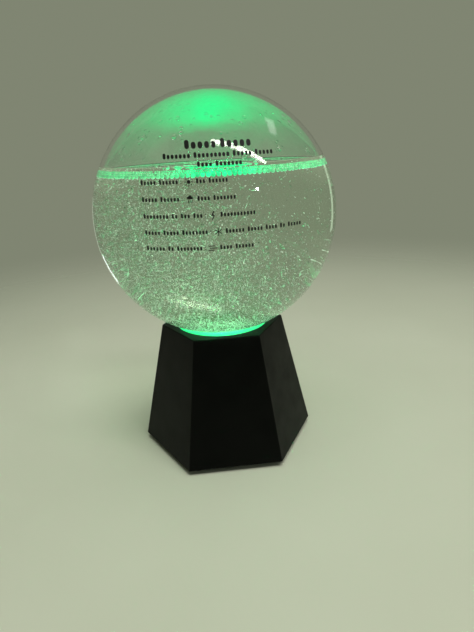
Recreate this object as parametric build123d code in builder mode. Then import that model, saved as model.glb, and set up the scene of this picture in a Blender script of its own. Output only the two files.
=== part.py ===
from build123d import *

import os
from math import atan, cos, degrees, radians, sin, sqrt, tan

# A storm glass: a sealed glass globe of crystal-forming liquid, resting on a lit hexagonal base.
#
# Frame: millimetres, +Z up, origin on the table under the middle of the base. Two corners of
# the hexagon lie on the X axis. The printed front of the globe faces -Y, and the power button
# is in the back face, at +Y.

# ---------------------------------------------------------------- driving dimensions

GLOBE_RADIUS = 50.0
GLASS_WALL = 1.5
GLOBE_CENTRE_Z = 104.0
LIQUID_LEVEL_Z = 124.6
CRYSTAL_TOP_Z = 72.0
FILL_HOLE_RADIUS = 4.0

BODY_BOTTOM_Z = 2.6
BODY_TOP_Z = 57.0
BODY_BOTTOM_RADIUS = 39.7  # centre to corner of the hexagon
BODY_TOP_RADIUS = 27.1
SIDES = 6
WALL = 2.0
TOP_WALL = 2.5
EDGE_ROUND = 0.5

CUP_RADIUS = 20.0  # the round opening in the top, which holds the light parts
CUP_WALL = 1.4
LEDGE_TOP_Z = 51.5
LEDGE_THICKNESS = 1.5
LEDGE_INNER_RADIUS = 17.8

COVER_THICKNESS = 2.0
COVER_GAP = 0.3
COVER_SCREW_CIRCLE = 30.0
COVER_POST_RADIUS = 3.0

CELL_RADIUS = 5.25  # AAA cell
CELL_LENGTH = 44.5
CELL_NUB_LENGTH = 0.8
CELL_NUB_RADIUS = 1.9
CELL_PITCH = 10.8
CELL_Z = 10.15
BAY_LENGTH = 47.8
BAY_WIDTH = 32.5
BAY_WALL = 1.0
BAY_CEILING_Z = 15.6
BAY_CORNER = 3.0
CONTACT_THICKNESS = 0.4

HINGE_X = -24.4
HINGE_Z = 3.55
HINGE_BARREL_RADIUS = 0.9
HINGE_PIN_RADIUS = 0.5
HINGE_PIN_CLEARANCE = 0.06
HINGE_PIN_LENGTH = 2.0
BARREL_LENGTH = 28.0
DOOR_THICKNESS = 1.1
DOOR_WIDTH = 35.2
DOOR_FREE_END_X = 25.3
DOOR_SHOULDER_X = -22.65  # past this the door is at its full width
DOOR_GAP = 0.2
DOOR_RECESS_DEPTH = 1.2

FOOT_RADIUS = 4.2
FOOT_CIRCLE = 32.0

BUTTON_Z = 22.0
BUTTON_RADIUS = 3.5
BUTTON_HOLE_RADIUS = 3.8
BUTTON_PROUD = 1.6
SWITCH_FACE_DEPTH = 6.3  # measured inwards from the outside of the back wall
SWITCH_BODY_DEPTH = 5.0
SWITCH_BOARD_THICKNESS = 1.2

LED_BOARD_TOP_Z = 42.0
LED_BOARD_THICKNESS = 1.6
LED_BOARD_RADIUS = 26.6
LED_SCREW_CIRCLE = 22.5
LED_POST_RADIUS = 2.6
LED_COUNT = 4
LED_CIRCLE = 6.3
LED_SIZE = 5.0
LED_HEIGHT = 1.6

DIFFUSER_THICKNESS = 1.5
SEAT_GAP = 0.15  # between the globe and the spherical seat
SEAT_TOP_Z = 56.8
SEAT_INNER_RADIUS = 12.6

WIRE_RADIUS = 0.55

# ---------------------------------------------------------------- derived dimensions

COS_30 = cos(radians(30))
BODY_HEIGHT = BODY_TOP_Z - BODY_BOTTOM_Z
BODY_SHRINK = (BODY_BOTTOM_RADIUS - BODY_TOP_RADIUS) / BODY_HEIGHT  # of the corner radius
LEAN = degrees(atan(BODY_SHRINK * COS_30))
WALL_ACROSS = WALL / cos(radians(LEAN))  # the wall's thickness measured level

CAVITY_TOP_Z = BODY_TOP_Z - TOP_WALL
LEDGE_UNDERSIDE_Z = LEDGE_TOP_Z - LEDGE_THICKNESS
COVER_TOP_Z = BODY_BOTTOM_Z + COVER_THICKNESS
BAY_ROOF_Z = BAY_CEILING_Z + BAY_WALL
BAY_END_X = BAY_LENGTH / 2
CONTACT_FACE_X = BAY_END_X - CONTACT_THICKNESS
BOARD_FACE_DEPTH = SWITCH_FACE_DEPTH + SWITCH_BODY_DEPTH
GLASS_INNER_RADIUS = GLOBE_RADIUS - GLASS_WALL
LED_BOARD_UNDERSIDE_Z = LED_BOARD_TOP_Z - LED_BOARD_THICKNESS

CORNER_ANGLES = (0, 120, 240)  # feet
OTHER_CORNER_ANGLE = 60  # the first of the three corners that hold screws


def corner_radius(z):
    """Centre to corner of the body's outside at height z."""
    return BODY_BOTTOM_RADIUS - BODY_SHRINK * (z - BODY_BOTTOM_Z)


def cavity_radius(z):
    """Centre to corner of the body's inside at height z."""
    return corner_radius(z) - WALL_ACROSS / COS_30


def height_on_sphere(radius, distance):
    """Height of the globe's lower side, for a sphere of this radius, at this distance from the axis."""
    return GLOBE_CENTRE_Z - sqrt(radius**2 - distance**2)


def radius_on_sphere(radius, z):
    """Distance from the axis at which a sphere about the globe's centre is at height z."""
    return sqrt(radius**2 - (z - GLOBE_CENTRE_Z) ** 2)


BACK = Plane(
    origin=(0, corner_radius(BUTTON_Z) * COS_30, BUTTON_Z),
    x_dir=(-1, 0, 0),
    z_dir=(0, cos(radians(LEAN)), sin(radians(LEAN))),
)

os.makedirs("parts", exist_ok=True)


def save(part, name):
    """Labels a finished piece and writes it as a STEP file of its own."""
    part.label = name
    export_step(part, f"parts/{name}.step")


# ---------------------------------------------------------------- fasteners

HEAD_RADIUS = 2.2
HEAD_HEIGHT = 1.1
SHANK_RADIUS = 1.0
PILOT_RADIUS = 1.05
SMALL_HEAD_RADIUS = 1.7
SMALL_SHANK_RADIUS = 0.7
SMALL_PILOT_RADIUS = 0.75
CROSS_LENGTH = 1.2  # of a screw's head radius
CROSS_WIDTH = 0.28  # of a screw's head radius


def pan_screws(plane, points, head_radius, shank_radius, length):
    """Identical cross-head screws. Their heads sit on the plane and their shanks go in behind it."""
    recess_length = head_radius * CROSS_LENGTH
    recess_width = head_radius * CROSS_WIDTH
    with BuildPart() as screws:
        with BuildSketch(plane):
            with Locations(*points):
                Circle(head_radius)
        extrude(amount=HEAD_HEIGHT)
        with BuildSketch(plane):
            with Locations(*points):
                Circle(shank_radius)
        extrude(amount=-length)
        with BuildSketch(plane.offset(HEAD_HEIGHT)):
            with Locations(*points):
                Rectangle(recess_length, recess_width)
                Rectangle(recess_width, recess_length)
        extrude(amount=-HEAD_HEIGHT / 2, mode=Mode.SUBTRACT)
    return screws.part


def polar_points(radius, first_angle, count=3):
    """Points evenly spaced round a circle."""
    step = 360 / count
    angles = [radians(first_angle + step * i) for i in range(count)]
    return [(radius * cos(a), radius * sin(a)) for a in angles]


COVER_SCREW_POINTS = polar_points(COVER_SCREW_CIRCLE, OTHER_CORNER_ANGLE)
LED_SCREW_POINTS = polar_points(LED_SCREW_CIRCLE, OTHER_CORNER_ANGLE)
SWITCH_SCREW_X = 8.0
SWITCH_SCREW_POINTS = [(-SWITCH_SCREW_X, 0), (SWITCH_SCREW_X, 0)]
SWITCH_POST_RADIUS = 1.8

# ---------------------------------------------------------------- base shell

# The space inside the body. The light cup and the screw posts are left out of it, so that
# they stay solid in the shell and run into its walls.
with BuildPart() as cavity:
    with BuildSketch(Plane.XY.offset(BODY_BOTTOM_Z)):
        RegularPolygon(cavity_radius(BODY_BOTTOM_Z), SIDES)
    extrude(amount=CAVITY_TOP_Z - BODY_BOTTOM_Z, taper=LEAN)
    with BuildSketch(Plane.XY.offset(LEDGE_UNDERSIDE_Z)):
        Circle(CUP_RADIUS + CUP_WALL)
    extrude(amount=CAVITY_TOP_Z - LEDGE_UNDERSIDE_Z, mode=Mode.SUBTRACT)
    with BuildSketch(Plane.XY.offset(LED_BOARD_TOP_Z)):
        with Locations(*LED_SCREW_POINTS):
            Circle(LED_POST_RADIUS)
    extrude(amount=LEDGE_UNDERSIDE_Z - LED_BOARD_TOP_Z, mode=Mode.SUBTRACT)
    with BuildSketch(Plane.XY.offset(COVER_TOP_Z)):
        with Locations(*COVER_SCREW_POINTS):
            Circle(COVER_POST_RADIUS)
    extrude(amount=LED_BOARD_UNDERSIDE_Z - 2 * HEAD_HEIGHT - COVER_TOP_Z, mode=Mode.SUBTRACT)
    with BuildSketch(BACK.offset(-BOARD_FACE_DEPTH)):
        with Locations(*SWITCH_SCREW_POINTS):
            Circle(SWITCH_POST_RADIUS)
    extrude(amount=BOARD_FACE_DEPTH, mode=Mode.SUBTRACT)

COVER_PILOT_DEPTH = 8.0
LED_PILOT_DEPTH = 6.0
SWITCH_PILOT_DEPTH = 6.0
CUP_EDGE_CHAMFER = 0.3

with BuildPart() as base_shell:
    with BuildSketch(Plane.XY.offset(BODY_BOTTOM_Z)):
        RegularPolygon(BODY_BOTTOM_RADIUS, SIDES)
    extrude(amount=BODY_HEIGHT, taper=LEAN)
    fillet(base_shell.edges().sort_by(Axis.Z)[SIDES:], radius=EDGE_ROUND)
    add(cavity.part, mode=Mode.SUBTRACT)
    with BuildSketch(Plane.XY.offset(LEDGE_TOP_Z)):
        Circle(CUP_RADIUS)
    extrude(amount=BODY_TOP_Z - LEDGE_TOP_Z, mode=Mode.SUBTRACT)
    with BuildSketch(Plane.XY.offset(LEDGE_UNDERSIDE_Z)):
        Circle(LEDGE_INNER_RADIUS)
    extrude(amount=LEDGE_THICKNESS, mode=Mode.SUBTRACT)
    cup_rim = base_shell.edges().filter_by(GeomType.CIRCLE).group_by(Axis.Z)[-1]
    chamfer(cup_rim, length=CUP_EDGE_CHAMFER)
    with BuildSketch(Plane.XY.offset(COVER_TOP_Z)):
        with Locations(*COVER_SCREW_POINTS):
            Circle(PILOT_RADIUS)
    extrude(amount=COVER_PILOT_DEPTH, mode=Mode.SUBTRACT)
    with BuildSketch(Plane.XY.offset(LED_BOARD_TOP_Z)):
        with Locations(*LED_SCREW_POINTS):
            Circle(PILOT_RADIUS)
    extrude(amount=LED_PILOT_DEPTH, mode=Mode.SUBTRACT)
    with BuildSketch(BACK.offset(-BOARD_FACE_DEPTH)):
        with Locations(*SWITCH_SCREW_POINTS):
            Circle(SMALL_PILOT_RADIUS)
    extrude(amount=SWITCH_PILOT_DEPTH, mode=Mode.SUBTRACT)
    with BuildSketch(BACK.offset(-2 * WALL)):
        Circle(BUTTON_HOLE_RADIUS)
    extrude(amount=3 * WALL, mode=Mode.SUBTRACT)

save(base_shell.part, "base_shell")

# ---------------------------------------------------------------- bottom cover with its battery bay

BAY_OUTER_LENGTH = BAY_LENGTH + 2 * BAY_WALL
BAY_OUTER_WIDTH = BAY_WIDTH + 2 * BAY_WALL
BAY_OUTER_CORNER = BAY_CORNER + BAY_WALL * (2 - sqrt(2))
RECESS_WIDTH = DOOR_WIDTH + 2 * DOOR_GAP
RECESS_END_X = DOOR_FREE_END_X + DOOR_GAP
BLOCK_DEPTH = 1.2  # from the hinge axis to the inner side of the blocks that hold the pins
BLOCK_EDGE_X = HINGE_X + BLOCK_DEPTH
BARREL_SLOT_DEPTH = 1.1
BARREL_SLOT_X = HINGE_X - BARREL_SLOT_DEPTH
LATCH_WIDTH = 6.0
TAB_WIDTH = 3.0
HEAD_POCKET_DEPTH = 1.2
RIB_HEIGHT = 0.8
POSITIVE_Y = -CELL_PITCH
NEGATIVE_Y = CELL_PITCH

with BuildPart() as bottom_cover:
    with BuildSketch(Plane.XY.offset(BODY_BOTTOM_Z)):
        RegularPolygon(cavity_radius(COVER_TOP_Z) - COVER_GAP, SIDES)
    extrude(amount=COVER_THICKNESS)
    with BuildSketch(Plane.YZ.offset(-BAY_OUTER_LENGTH / 2)) as bay_outside:
        with Locations((0, COVER_TOP_Z)):
            Rectangle(BAY_OUTER_WIDTH, BAY_ROOF_Z - COVER_TOP_Z, align=(Align.CENTER, Align.MIN))
        chamfer(bay_outside.vertices().group_by(Axis.Y)[-1], length=BAY_OUTER_CORNER)
    extrude(amount=BAY_OUTER_LENGTH)
    with BuildSketch(Plane.YZ.offset(-BAY_LENGTH / 2)) as bay_inside:
        with Locations((0, BODY_BOTTOM_Z)):
            Rectangle(BAY_WIDTH, BAY_CEILING_Z - BODY_BOTTOM_Z, align=(Align.CENTER, Align.MIN))
        chamfer(bay_inside.vertices().group_by(Axis.Y)[-1], length=BAY_CORNER)
    extrude(amount=BAY_LENGTH, mode=Mode.SUBTRACT)
    # the door's recess, the slot for its hinge barrel and the notch for its latch
    with BuildSketch(Plane.XY.offset(BODY_BOTTOM_Z)):
        with Locations((BLOCK_EDGE_X, 0)):
            Rectangle(RECESS_END_X - BLOCK_EDGE_X, RECESS_WIDTH, align=(Align.MIN, Align.CENTER))
    extrude(amount=DOOR_RECESS_DEPTH, mode=Mode.SUBTRACT)
    with BuildSketch(Plane.XY.offset(BODY_BOTTOM_Z)):
        with Locations((BARREL_SLOT_X, 0)):
            Rectangle(
                BLOCK_EDGE_X - BARREL_SLOT_X,
                BARREL_LENGTH + 2 * DOOR_GAP,
                align=(Align.MIN, Align.CENTER),
            )
        with Locations((RECESS_END_X, 0)):
            Rectangle(
                RECESS_END_X - BAY_END_X,
                LATCH_WIDTH + 4 * DOOR_GAP,
                align=(Align.MAX, Align.CENTER),
            )
    extrude(amount=COVER_THICKNESS, mode=Mode.SUBTRACT)
    # blind sockets for the hinge pins
    pin_span = BARREL_LENGTH + 2 * HINGE_PIN_LENGTH + 2 * DOOR_GAP
    with BuildSketch(Plane.XZ.offset(-pin_span / 2)):
        with Locations((HINGE_X, HINGE_Z)):
            Circle(HINGE_PIN_RADIUS + HINGE_PIN_CLEARANCE)
    extrude(amount=pin_span, mode=Mode.SUBTRACT)
    # screw holes with pockets for the heads
    with BuildSketch(Plane.XY.offset(BODY_BOTTOM_Z)):
        with Locations(*COVER_SCREW_POINTS):
            Circle(HEAD_RADIUS + COVER_GAP)
    extrude(amount=HEAD_POCKET_DEPTH, mode=Mode.SUBTRACT)
    with BuildSketch(Plane.XY.offset(BODY_BOTTOM_Z)):
        with Locations(*COVER_SCREW_POINTS):
            Circle(SHANK_RADIUS + COVER_GAP / 2)
    extrude(amount=COVER_THICKNESS, mode=Mode.SUBTRACT)
    # slots in the bay's roof for the two solder tabs
    tab_centre_x = BAY_END_X - CONTACT_THICKNESS / 2
    with BuildSketch(Plane.XY.offset(BAY_CEILING_Z)):
        with Locations((tab_centre_x, POSITIVE_Y), (-tab_centre_x, NEGATIVE_Y)):
            Rectangle(CONTACT_THICKNESS, TAB_WIDTH + COVER_GAP)
    extrude(amount=BAY_WALL, mode=Mode.SUBTRACT)
    # ribs under the roof that keep the cells apart
    with BuildSketch(Plane.XY.offset(BAY_CEILING_Z)):
        with Locations((0, -CELL_PITCH / 2), (0, CELL_PITCH / 2)):
            Rectangle(CELL_LENGTH / 2, BAY_WALL)
    extrude(amount=-2 * RIB_HEIGHT)

save(bottom_cover.part, "bottom_cover")

# ---------------------------------------------------------------- battery door

DOOR_UNDERSIDE_Z = HINGE_Z - HINGE_BARREL_RADIUS
DOOR_TOP_Z = DOOR_UNDERSIDE_Z + DOOR_THICKNESS
LATCH_THICKNESS = 0.8
LATCH_GAP = 0.1
LATCH_TOP_Z = COVER_TOP_Z - LATCH_GAP
DOOR_RIB_LENGTH = 0.8 * CELL_LENGTH
THUMB_RADIUS = 5.0
THUMB_DEPTH = 0.5
GRIP_PITCH = 2.0
GRIP_COUNT = 4

with BuildPart() as battery_door:
    with BuildSketch(Plane.XY.offset(DOOR_UNDERSIDE_Z)):
        with Locations((DOOR_SHOULDER_X, 0)):
            Rectangle(DOOR_FREE_END_X - DOOR_SHOULDER_X, DOOR_WIDTH, align=(Align.MIN, Align.CENTER))
        with Locations((HINGE_X, 0)):
            Rectangle(DOOR_SHOULDER_X - HINGE_X, BARREL_LENGTH, align=(Align.MIN, Align.CENTER))
    extrude(amount=DOOR_THICKNESS)
    with BuildSketch(Plane.XZ.offset(-BARREL_LENGTH / 2)):
        with Locations((HINGE_X, HINGE_Z)):
            Circle(HINGE_BARREL_RADIUS)
    extrude(amount=BARREL_LENGTH)
    door_pin_span = BARREL_LENGTH + 2 * HINGE_PIN_LENGTH
    with BuildSketch(Plane.XZ.offset(-door_pin_span / 2)):
        with Locations((HINGE_X, HINGE_Z)):
            Circle(HINGE_PIN_RADIUS)
    extrude(amount=door_pin_span)
    # latch finger at the free end
    with BuildSketch(Plane.XY.offset(DOOR_TOP_Z)):
        with Locations((DOOR_FREE_END_X, 0)):
            Rectangle(LATCH_THICKNESS, LATCH_WIDTH, align=(Align.MAX, Align.CENTER))
    extrude(amount=LATCH_TOP_Z - DOOR_TOP_Z)
    # ribs between the cells
    with BuildSketch(Plane.XY.offset(DOOR_TOP_Z)):
        with Locations((0, -CELL_PITCH / 2), (0, CELL_PITCH / 2)):
            Rectangle(DOOR_RIB_LENGTH, BAY_WALL)
    extrude(amount=2 * RIB_HEIGHT)
    # grip grooves and a half-round thumb hollow by the latch
    with BuildSketch(Plane.XY.offset(DOOR_UNDERSIDE_Z)):
        for groove in range(GRIP_COUNT):
            with Locations((DOOR_FREE_END_X - THUMB_RADIUS - GRIP_PITCH * (groove + 1), 0)):
                Rectangle(GRIP_PITCH / 2, DOOR_WIDTH / 3)
        with Locations((DOOR_FREE_END_X, 0)):
            Circle(THUMB_RADIUS - GRIP_PITCH / 2)
    extrude(amount=THUMB_DEPTH, mode=Mode.SUBTRACT)

save(battery_door.part, "battery_door")

# ---------------------------------------------------------------- cells and their contacts

CELL_EDGE_ROUND = 0.4


def cell(y, toward):
    """A cylindrical cell along X at this y, with its positive nub toward +X or -X."""
    flat_end_x = toward * (CONTACT_FACE_X - CELL_LENGTH)
    end = Plane(origin=(flat_end_x, y, CELL_Z), x_dir=(0, 1, 0), z_dir=(toward, 0, 0))
    can_length = CELL_LENGTH - CELL_NUB_LENGTH
    with BuildPart() as body:
        with BuildSketch(end):
            Circle(CELL_RADIUS)
        extrude(amount=can_length)
        fillet(body.edges().filter_by(GeomType.CIRCLE), radius=CELL_EDGE_ROUND)
        with BuildSketch(end.offset(can_length)):
            Circle(CELL_NUB_RADIUS)
        extrude(amount=CELL_NUB_LENGTH)
    return body.part


for number, (row, toward) in enumerate(((-1, 1), (0, -1), (1, 1)), start=1):
    save(cell(row * CELL_PITCH, toward), f"cell_{number}")

PLATE_WIDTH = 8.0
PLATE_BOTTOM_Z = 5.8
PLATE_TOP_Z = 14.2
TAB_TOP_Z = 18.6
LEAF_WIDTH = 5.0
LEAF_THICKNESS = 0.3
LEAF_HALF_HEIGHT = 3.2
LEAF_GAP = 0.05
LEAF_REACH = BAY_LENGTH - 2 * CONTACT_THICKNESS - CELL_LENGTH  # from the plate to the cell's flat end


def leaf_profile(side):
    """Section of a bowed leaf spring that stands on the contact plate at one end of the bay."""
    root_x = side * CONTACT_FACE_X
    crest_x = side * (CONTACT_FACE_X - LEAF_REACH + LEAF_GAP)
    low_z = CELL_Z - LEAF_HALF_HEIGHT
    high_z = CELL_Z + LEAF_HALF_HEIGHT
    inner_crest_x = crest_x + side * LEAF_THICKNESS
    ThreePointArc((root_x, low_z), (crest_x, CELL_Z), (root_x, high_z))
    Line((root_x, high_z), (root_x, high_z - LEAF_THICKNESS))
    ThreePointArc(
        (root_x, high_z - LEAF_THICKNESS),
        (inner_crest_x, CELL_Z),
        (root_x, low_z + LEAF_THICKNESS),
    )
    Line((root_x, low_z + LEAF_THICKNESS), (root_x, low_z))


def contact(side, plate_from_y, plate_to_y, leaf_y=None, tab_y=None):
    """A pressed contact at the +X or -X end of the bay: a plate, and a leaf or a solder tab if given."""
    plate_x = side * (BAY_END_X - CONTACT_THICKNESS / 2)
    with BuildPart() as piece:
        with BuildSketch(Plane.XY.offset(PLATE_BOTTOM_Z)):
            with Locations((plate_x, (plate_from_y + plate_to_y) / 2)):
                Rectangle(CONTACT_THICKNESS, plate_to_y - plate_from_y)
        extrude(amount=PLATE_TOP_Z - PLATE_BOTTOM_Z)
        if tab_y is not None:
            with BuildSketch(Plane.XY.offset(PLATE_TOP_Z)):
                with Locations((plate_x, tab_y)):
                    Rectangle(CONTACT_THICKNESS, TAB_WIDTH)
            extrude(amount=TAB_TOP_Z - PLATE_TOP_Z)
        if leaf_y is not None:
            with BuildSketch(Plane.XZ.offset(-leaf_y - LEAF_WIDTH / 2)):
                with BuildLine():
                    leaf_profile(side)
                make_face()
            extrude(amount=LEAF_WIDTH)
    return piece.part


HALF_PLATE = PLATE_WIDTH / 2
save(
    contact(1, POSITIVE_Y - HALF_PLATE, POSITIVE_Y + HALF_PLATE, tab_y=POSITIVE_Y),
    "positive_contact",
)
save(
    contact(-1, NEGATIVE_Y - HALF_PLATE, NEGATIVE_Y + HALF_PLATE, leaf_y=NEGATIVE_Y, tab_y=NEGATIVE_Y),
    "negative_contact",
)
save(contact(-1, POSITIVE_Y - HALF_PLATE, HALF_PLATE, leaf_y=POSITIVE_Y), "bridge_contact_1")
save(contact(1, -HALF_PLATE, NEGATIVE_Y + HALF_PLATE, leaf_y=0), "bridge_contact_2")

# ---------------------------------------------------------------- screws and feet

HEAD_GAP = 0.02
cover_screw_plane = Plane(
    origin=(0, 0, BODY_BOTTOM_Z + HEAD_POCKET_DEPTH - HEAD_GAP),
    x_dir=(1, 0, 0),
    z_dir=(0, 0, -1),
)
cover_screw_points = [(x, -y) for x, y in COVER_SCREW_POINTS]  # this plane looks down
save(
    pan_screws(cover_screw_plane, cover_screw_points, HEAD_RADIUS, SHANK_RADIUS, COVER_PILOT_DEPTH),
    "cover_screws",
)

FOOT_EDGE_ROUND = 1.2

for number, angle in enumerate(CORNER_ANGLES, start=1):
    with BuildPart() as foot:
        with BuildSketch():
            with PolarLocations(FOOT_CIRCLE, 1, start_angle=angle):
                Circle(FOOT_RADIUS)
        extrude(amount=BODY_BOTTOM_Z)
        fillet(foot.edges().group_by(Axis.Z)[0], radius=FOOT_EDGE_ROUND)
    save(foot.part, f"foot_{number}")

# ---------------------------------------------------------------- power button and its switch

CAP_ROUND = 0.7
FLANGE_RADIUS = 4.6
FLANGE_GAP = 0.2
FLANGE_DEPTH = WALL + FLANGE_GAP  # the flange's outer face, just inside the wall
FLANGE_THICKNESS = 1.0
STEM_RADIUS = 1.2
STEM_BORE_RADIUS = 1.5
STEM_REACH = 1.4  # how far the stem stands into the switch
STEM_END_DEPTH = SWITCH_FACE_DEPTH + STEM_REACH
SWITCH_SIZE = 7.0
SWITCH_BORE_LENGTH = 3.6
SWITCH_BOARD_SIZE = (20.4, 9.0)
SMALL_HOLE_CLEARANCE = 0.1

with BuildPart() as button_cap:
    with BuildSketch(BACK.offset(-FLANGE_DEPTH)):
        Circle(BUTTON_RADIUS)
    extrude(amount=FLANGE_DEPTH + BUTTON_PROUD)
    fillet(button_cap.edges().filter_by(GeomType.CIRCLE).sort_by(Axis.Y)[-1], radius=CAP_ROUND)
    with BuildSketch(BACK.offset(-FLANGE_DEPTH)):
        Circle(FLANGE_RADIUS)
    extrude(amount=-FLANGE_THICKNESS)
    with BuildSketch(BACK.offset(-FLANGE_DEPTH)):
        Circle(STEM_RADIUS)
    extrude(amount=FLANGE_DEPTH - STEM_END_DEPTH)

save(button_cap.part, "button_cap")

with BuildPart() as push_switch:
    with BuildSketch(BACK.offset(-SWITCH_FACE_DEPTH)):
        Rectangle(SWITCH_SIZE, SWITCH_SIZE)
    extrude(amount=-SWITCH_BODY_DEPTH)
    with BuildSketch(BACK.offset(-SWITCH_FACE_DEPTH)):
        Circle(STEM_BORE_RADIUS)
    extrude(amount=-SWITCH_BORE_LENGTH, mode=Mode.SUBTRACT)

save(push_switch.part, "push_switch")

with BuildPart() as switch_board:
    with BuildSketch(BACK.offset(-BOARD_FACE_DEPTH)):
        Rectangle(*SWITCH_BOARD_SIZE)
        with Locations(*SWITCH_SCREW_POINTS):
            Circle(SMALL_SHANK_RADIUS + SMALL_HOLE_CLEARANCE, mode=Mode.SUBTRACT)
    extrude(amount=-SWITCH_BOARD_THICKNESS)

save(switch_board.part, "switch_board")

switch_screw_plane = Plane(
    origin=BACK.offset(-BOARD_FACE_DEPTH - SWITCH_BOARD_THICKNESS - HEAD_GAP).origin,
    x_dir=(1, 0, 0),
    z_dir=-BACK.z_dir,
)
save(
    pan_screws(
        switch_screw_plane,
        SWITCH_SCREW_POINTS,
        SMALL_HEAD_RADIUS,
        SMALL_SHANK_RADIUS,
        SWITCH_PILOT_DEPTH,
    ),
    "switch_screws",
)

# ---------------------------------------------------------------- light unit

BOARD_CORNER_ROUND = 1.5
HOLE_CLEARANCE = 0.15

with BuildPart() as led_board:
    with BuildSketch(Plane.XY.offset(LED_BOARD_UNDERSIDE_Z)) as board_outline:
        RegularPolygon(LED_BOARD_RADIUS, SIDES)
        fillet(board_outline.vertices(), radius=BOARD_CORNER_ROUND)
        with Locations(*LED_SCREW_POINTS):
            Circle(SHANK_RADIUS + HOLE_CLEARANCE, mode=Mode.SUBTRACT)
    extrude(amount=LED_BOARD_THICKNESS)

save(led_board.part, "led_board")

led_screw_plane = Plane(
    origin=(0, 0, LED_BOARD_UNDERSIDE_Z - HEAD_GAP),
    x_dir=(1, 0, 0),
    z_dir=(0, 0, -1),
)
led_screw_points = [(x, -y) for x, y in LED_SCREW_POINTS]
save(
    pan_screws(led_screw_plane, led_screw_points, HEAD_RADIUS, SHANK_RADIUS, LED_PILOT_DEPTH),
    "board_screws",
)

LED_FIRST_ANGLE = 45
LENS_RADIUS = 1.9
LENS_DEPTH = 0.15

for number, (x, y) in enumerate(polar_points(LED_CIRCLE, LED_FIRST_ANGLE, LED_COUNT), start=1):
    with BuildPart() as led:
        with BuildSketch(Plane.XY.offset(LED_BOARD_TOP_Z)):
            with Locations((x, y)):
                Rectangle(LED_SIZE, LED_SIZE)
        extrude(amount=LED_HEIGHT)
        with BuildSketch(Plane.XY.offset(LED_BOARD_TOP_Z + LED_HEIGHT)):
            with Locations((x, y)):
                Circle(LENS_RADIUS)
        extrude(amount=-LENS_DEPTH, mode=Mode.SUBTRACT)
    save(led.part, f"led_{number}")

CHIP_SIZE = (4.9, 3.9, 1.5)
CHIP_PLACE = (0, -8)
RESISTOR_SIZE = (3.2, 1.6, 0.6)
RESISTOR_Y = -14.0
RESISTOR_PITCH = 4.5
RESISTOR_COUNT = 3

with BuildPart() as controller_chip:
    with BuildSketch(Plane.XY.offset(LED_BOARD_UNDERSIDE_Z)):
        with Locations(CHIP_PLACE):
            Rectangle(CHIP_SIZE[0], CHIP_SIZE[1])
    extrude(amount=-CHIP_SIZE[2])

save(controller_chip.part, "controller_chip")

for number in range(1, RESISTOR_COUNT + 1):
    with BuildPart() as resistor:
        with BuildSketch(Plane.XY.offset(LED_BOARD_UNDERSIDE_Z)):
            with Locations(((number - (RESISTOR_COUNT + 1) / 2) * RESISTOR_PITCH, RESISTOR_Y)):
                Rectangle(RESISTOR_SIZE[0], RESISTOR_SIZE[1])
        extrude(amount=-RESISTOR_SIZE[2])
    save(resistor.part, f"resistor_{number}")

CONE_FOOT_RADIUS = 11.0
CONE_MOUTH_RADIUS = 17.6
CONE_WALL = 1.0
CONE_GAP = 0.05

with BuildPart() as reflector:
    with BuildSketch(Plane.XZ):
        with BuildLine():
            Polyline(
                (CONE_FOOT_RADIUS, LED_BOARD_TOP_Z + CONE_GAP),
                (CONE_FOOT_RADIUS + CONE_WALL, LED_BOARD_TOP_Z + CONE_GAP),
                (CONE_MOUTH_RADIUS + CONE_WALL, LEDGE_UNDERSIDE_Z - CONE_GAP),
                (CONE_MOUTH_RADIUS, LEDGE_UNDERSIDE_Z - CONE_GAP),
                close=True,
            )
        make_face()
    revolve(axis=Axis.Z)

save(reflector.part, "reflector")

CUP_GAP = 0.3
DISH_RADIUS = 8.0
DISH_DEPTH = 0.5
DIFFUSER_TOP_Z = LEDGE_TOP_Z + DIFFUSER_THICKNESS

with BuildPart() as diffuser:
    with BuildSketch(Plane.XY.offset(LEDGE_TOP_Z)):
        Circle(CUP_RADIUS - CUP_GAP)
    extrude(amount=DIFFUSER_THICKNESS)
    with BuildSketch(Plane.XY.offset(DIFFUSER_TOP_Z)):
        Circle(DISH_RADIUS)
    extrude(amount=-DISH_DEPTH, mode=Mode.SUBTRACT)

save(diffuser.part, "diffuser")

SEAT_LIFT = 0.1
SEAT_BOTTOM_Z = DIFFUSER_TOP_Z + SEAT_LIFT
SEAT_EDGE_CHAMFER = 0.3
seat_sphere = GLOBE_RADIUS + SEAT_GAP
seat_outer = CUP_RADIUS - CUP_GAP
seat_mid = (SEAT_INNER_RADIUS + radius_on_sphere(seat_sphere, SEAT_TOP_Z)) / 2

with BuildPart() as seat_ring:
    with BuildSketch(Plane.XZ):
        with BuildLine():
            Polyline(
                (SEAT_INNER_RADIUS, height_on_sphere(seat_sphere, SEAT_INNER_RADIUS)),
                (SEAT_INNER_RADIUS, SEAT_BOTTOM_Z),
                (seat_outer, SEAT_BOTTOM_Z),
                (seat_outer, SEAT_TOP_Z - SEAT_EDGE_CHAMFER),
                (seat_outer - SEAT_EDGE_CHAMFER, SEAT_TOP_Z),
                (radius_on_sphere(seat_sphere, SEAT_TOP_Z), SEAT_TOP_Z),
            )
            ThreePointArc(
                (radius_on_sphere(seat_sphere, SEAT_TOP_Z), SEAT_TOP_Z),
                (seat_mid, height_on_sphere(seat_sphere, seat_mid)),
                (SEAT_INNER_RADIUS, height_on_sphere(seat_sphere, SEAT_INNER_RADIUS)),
            )
        make_face()
    revolve(axis=Axis.Z)

save(seat_ring.part, "seat_ring")

# ---------------------------------------------------------------- wires

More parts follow.
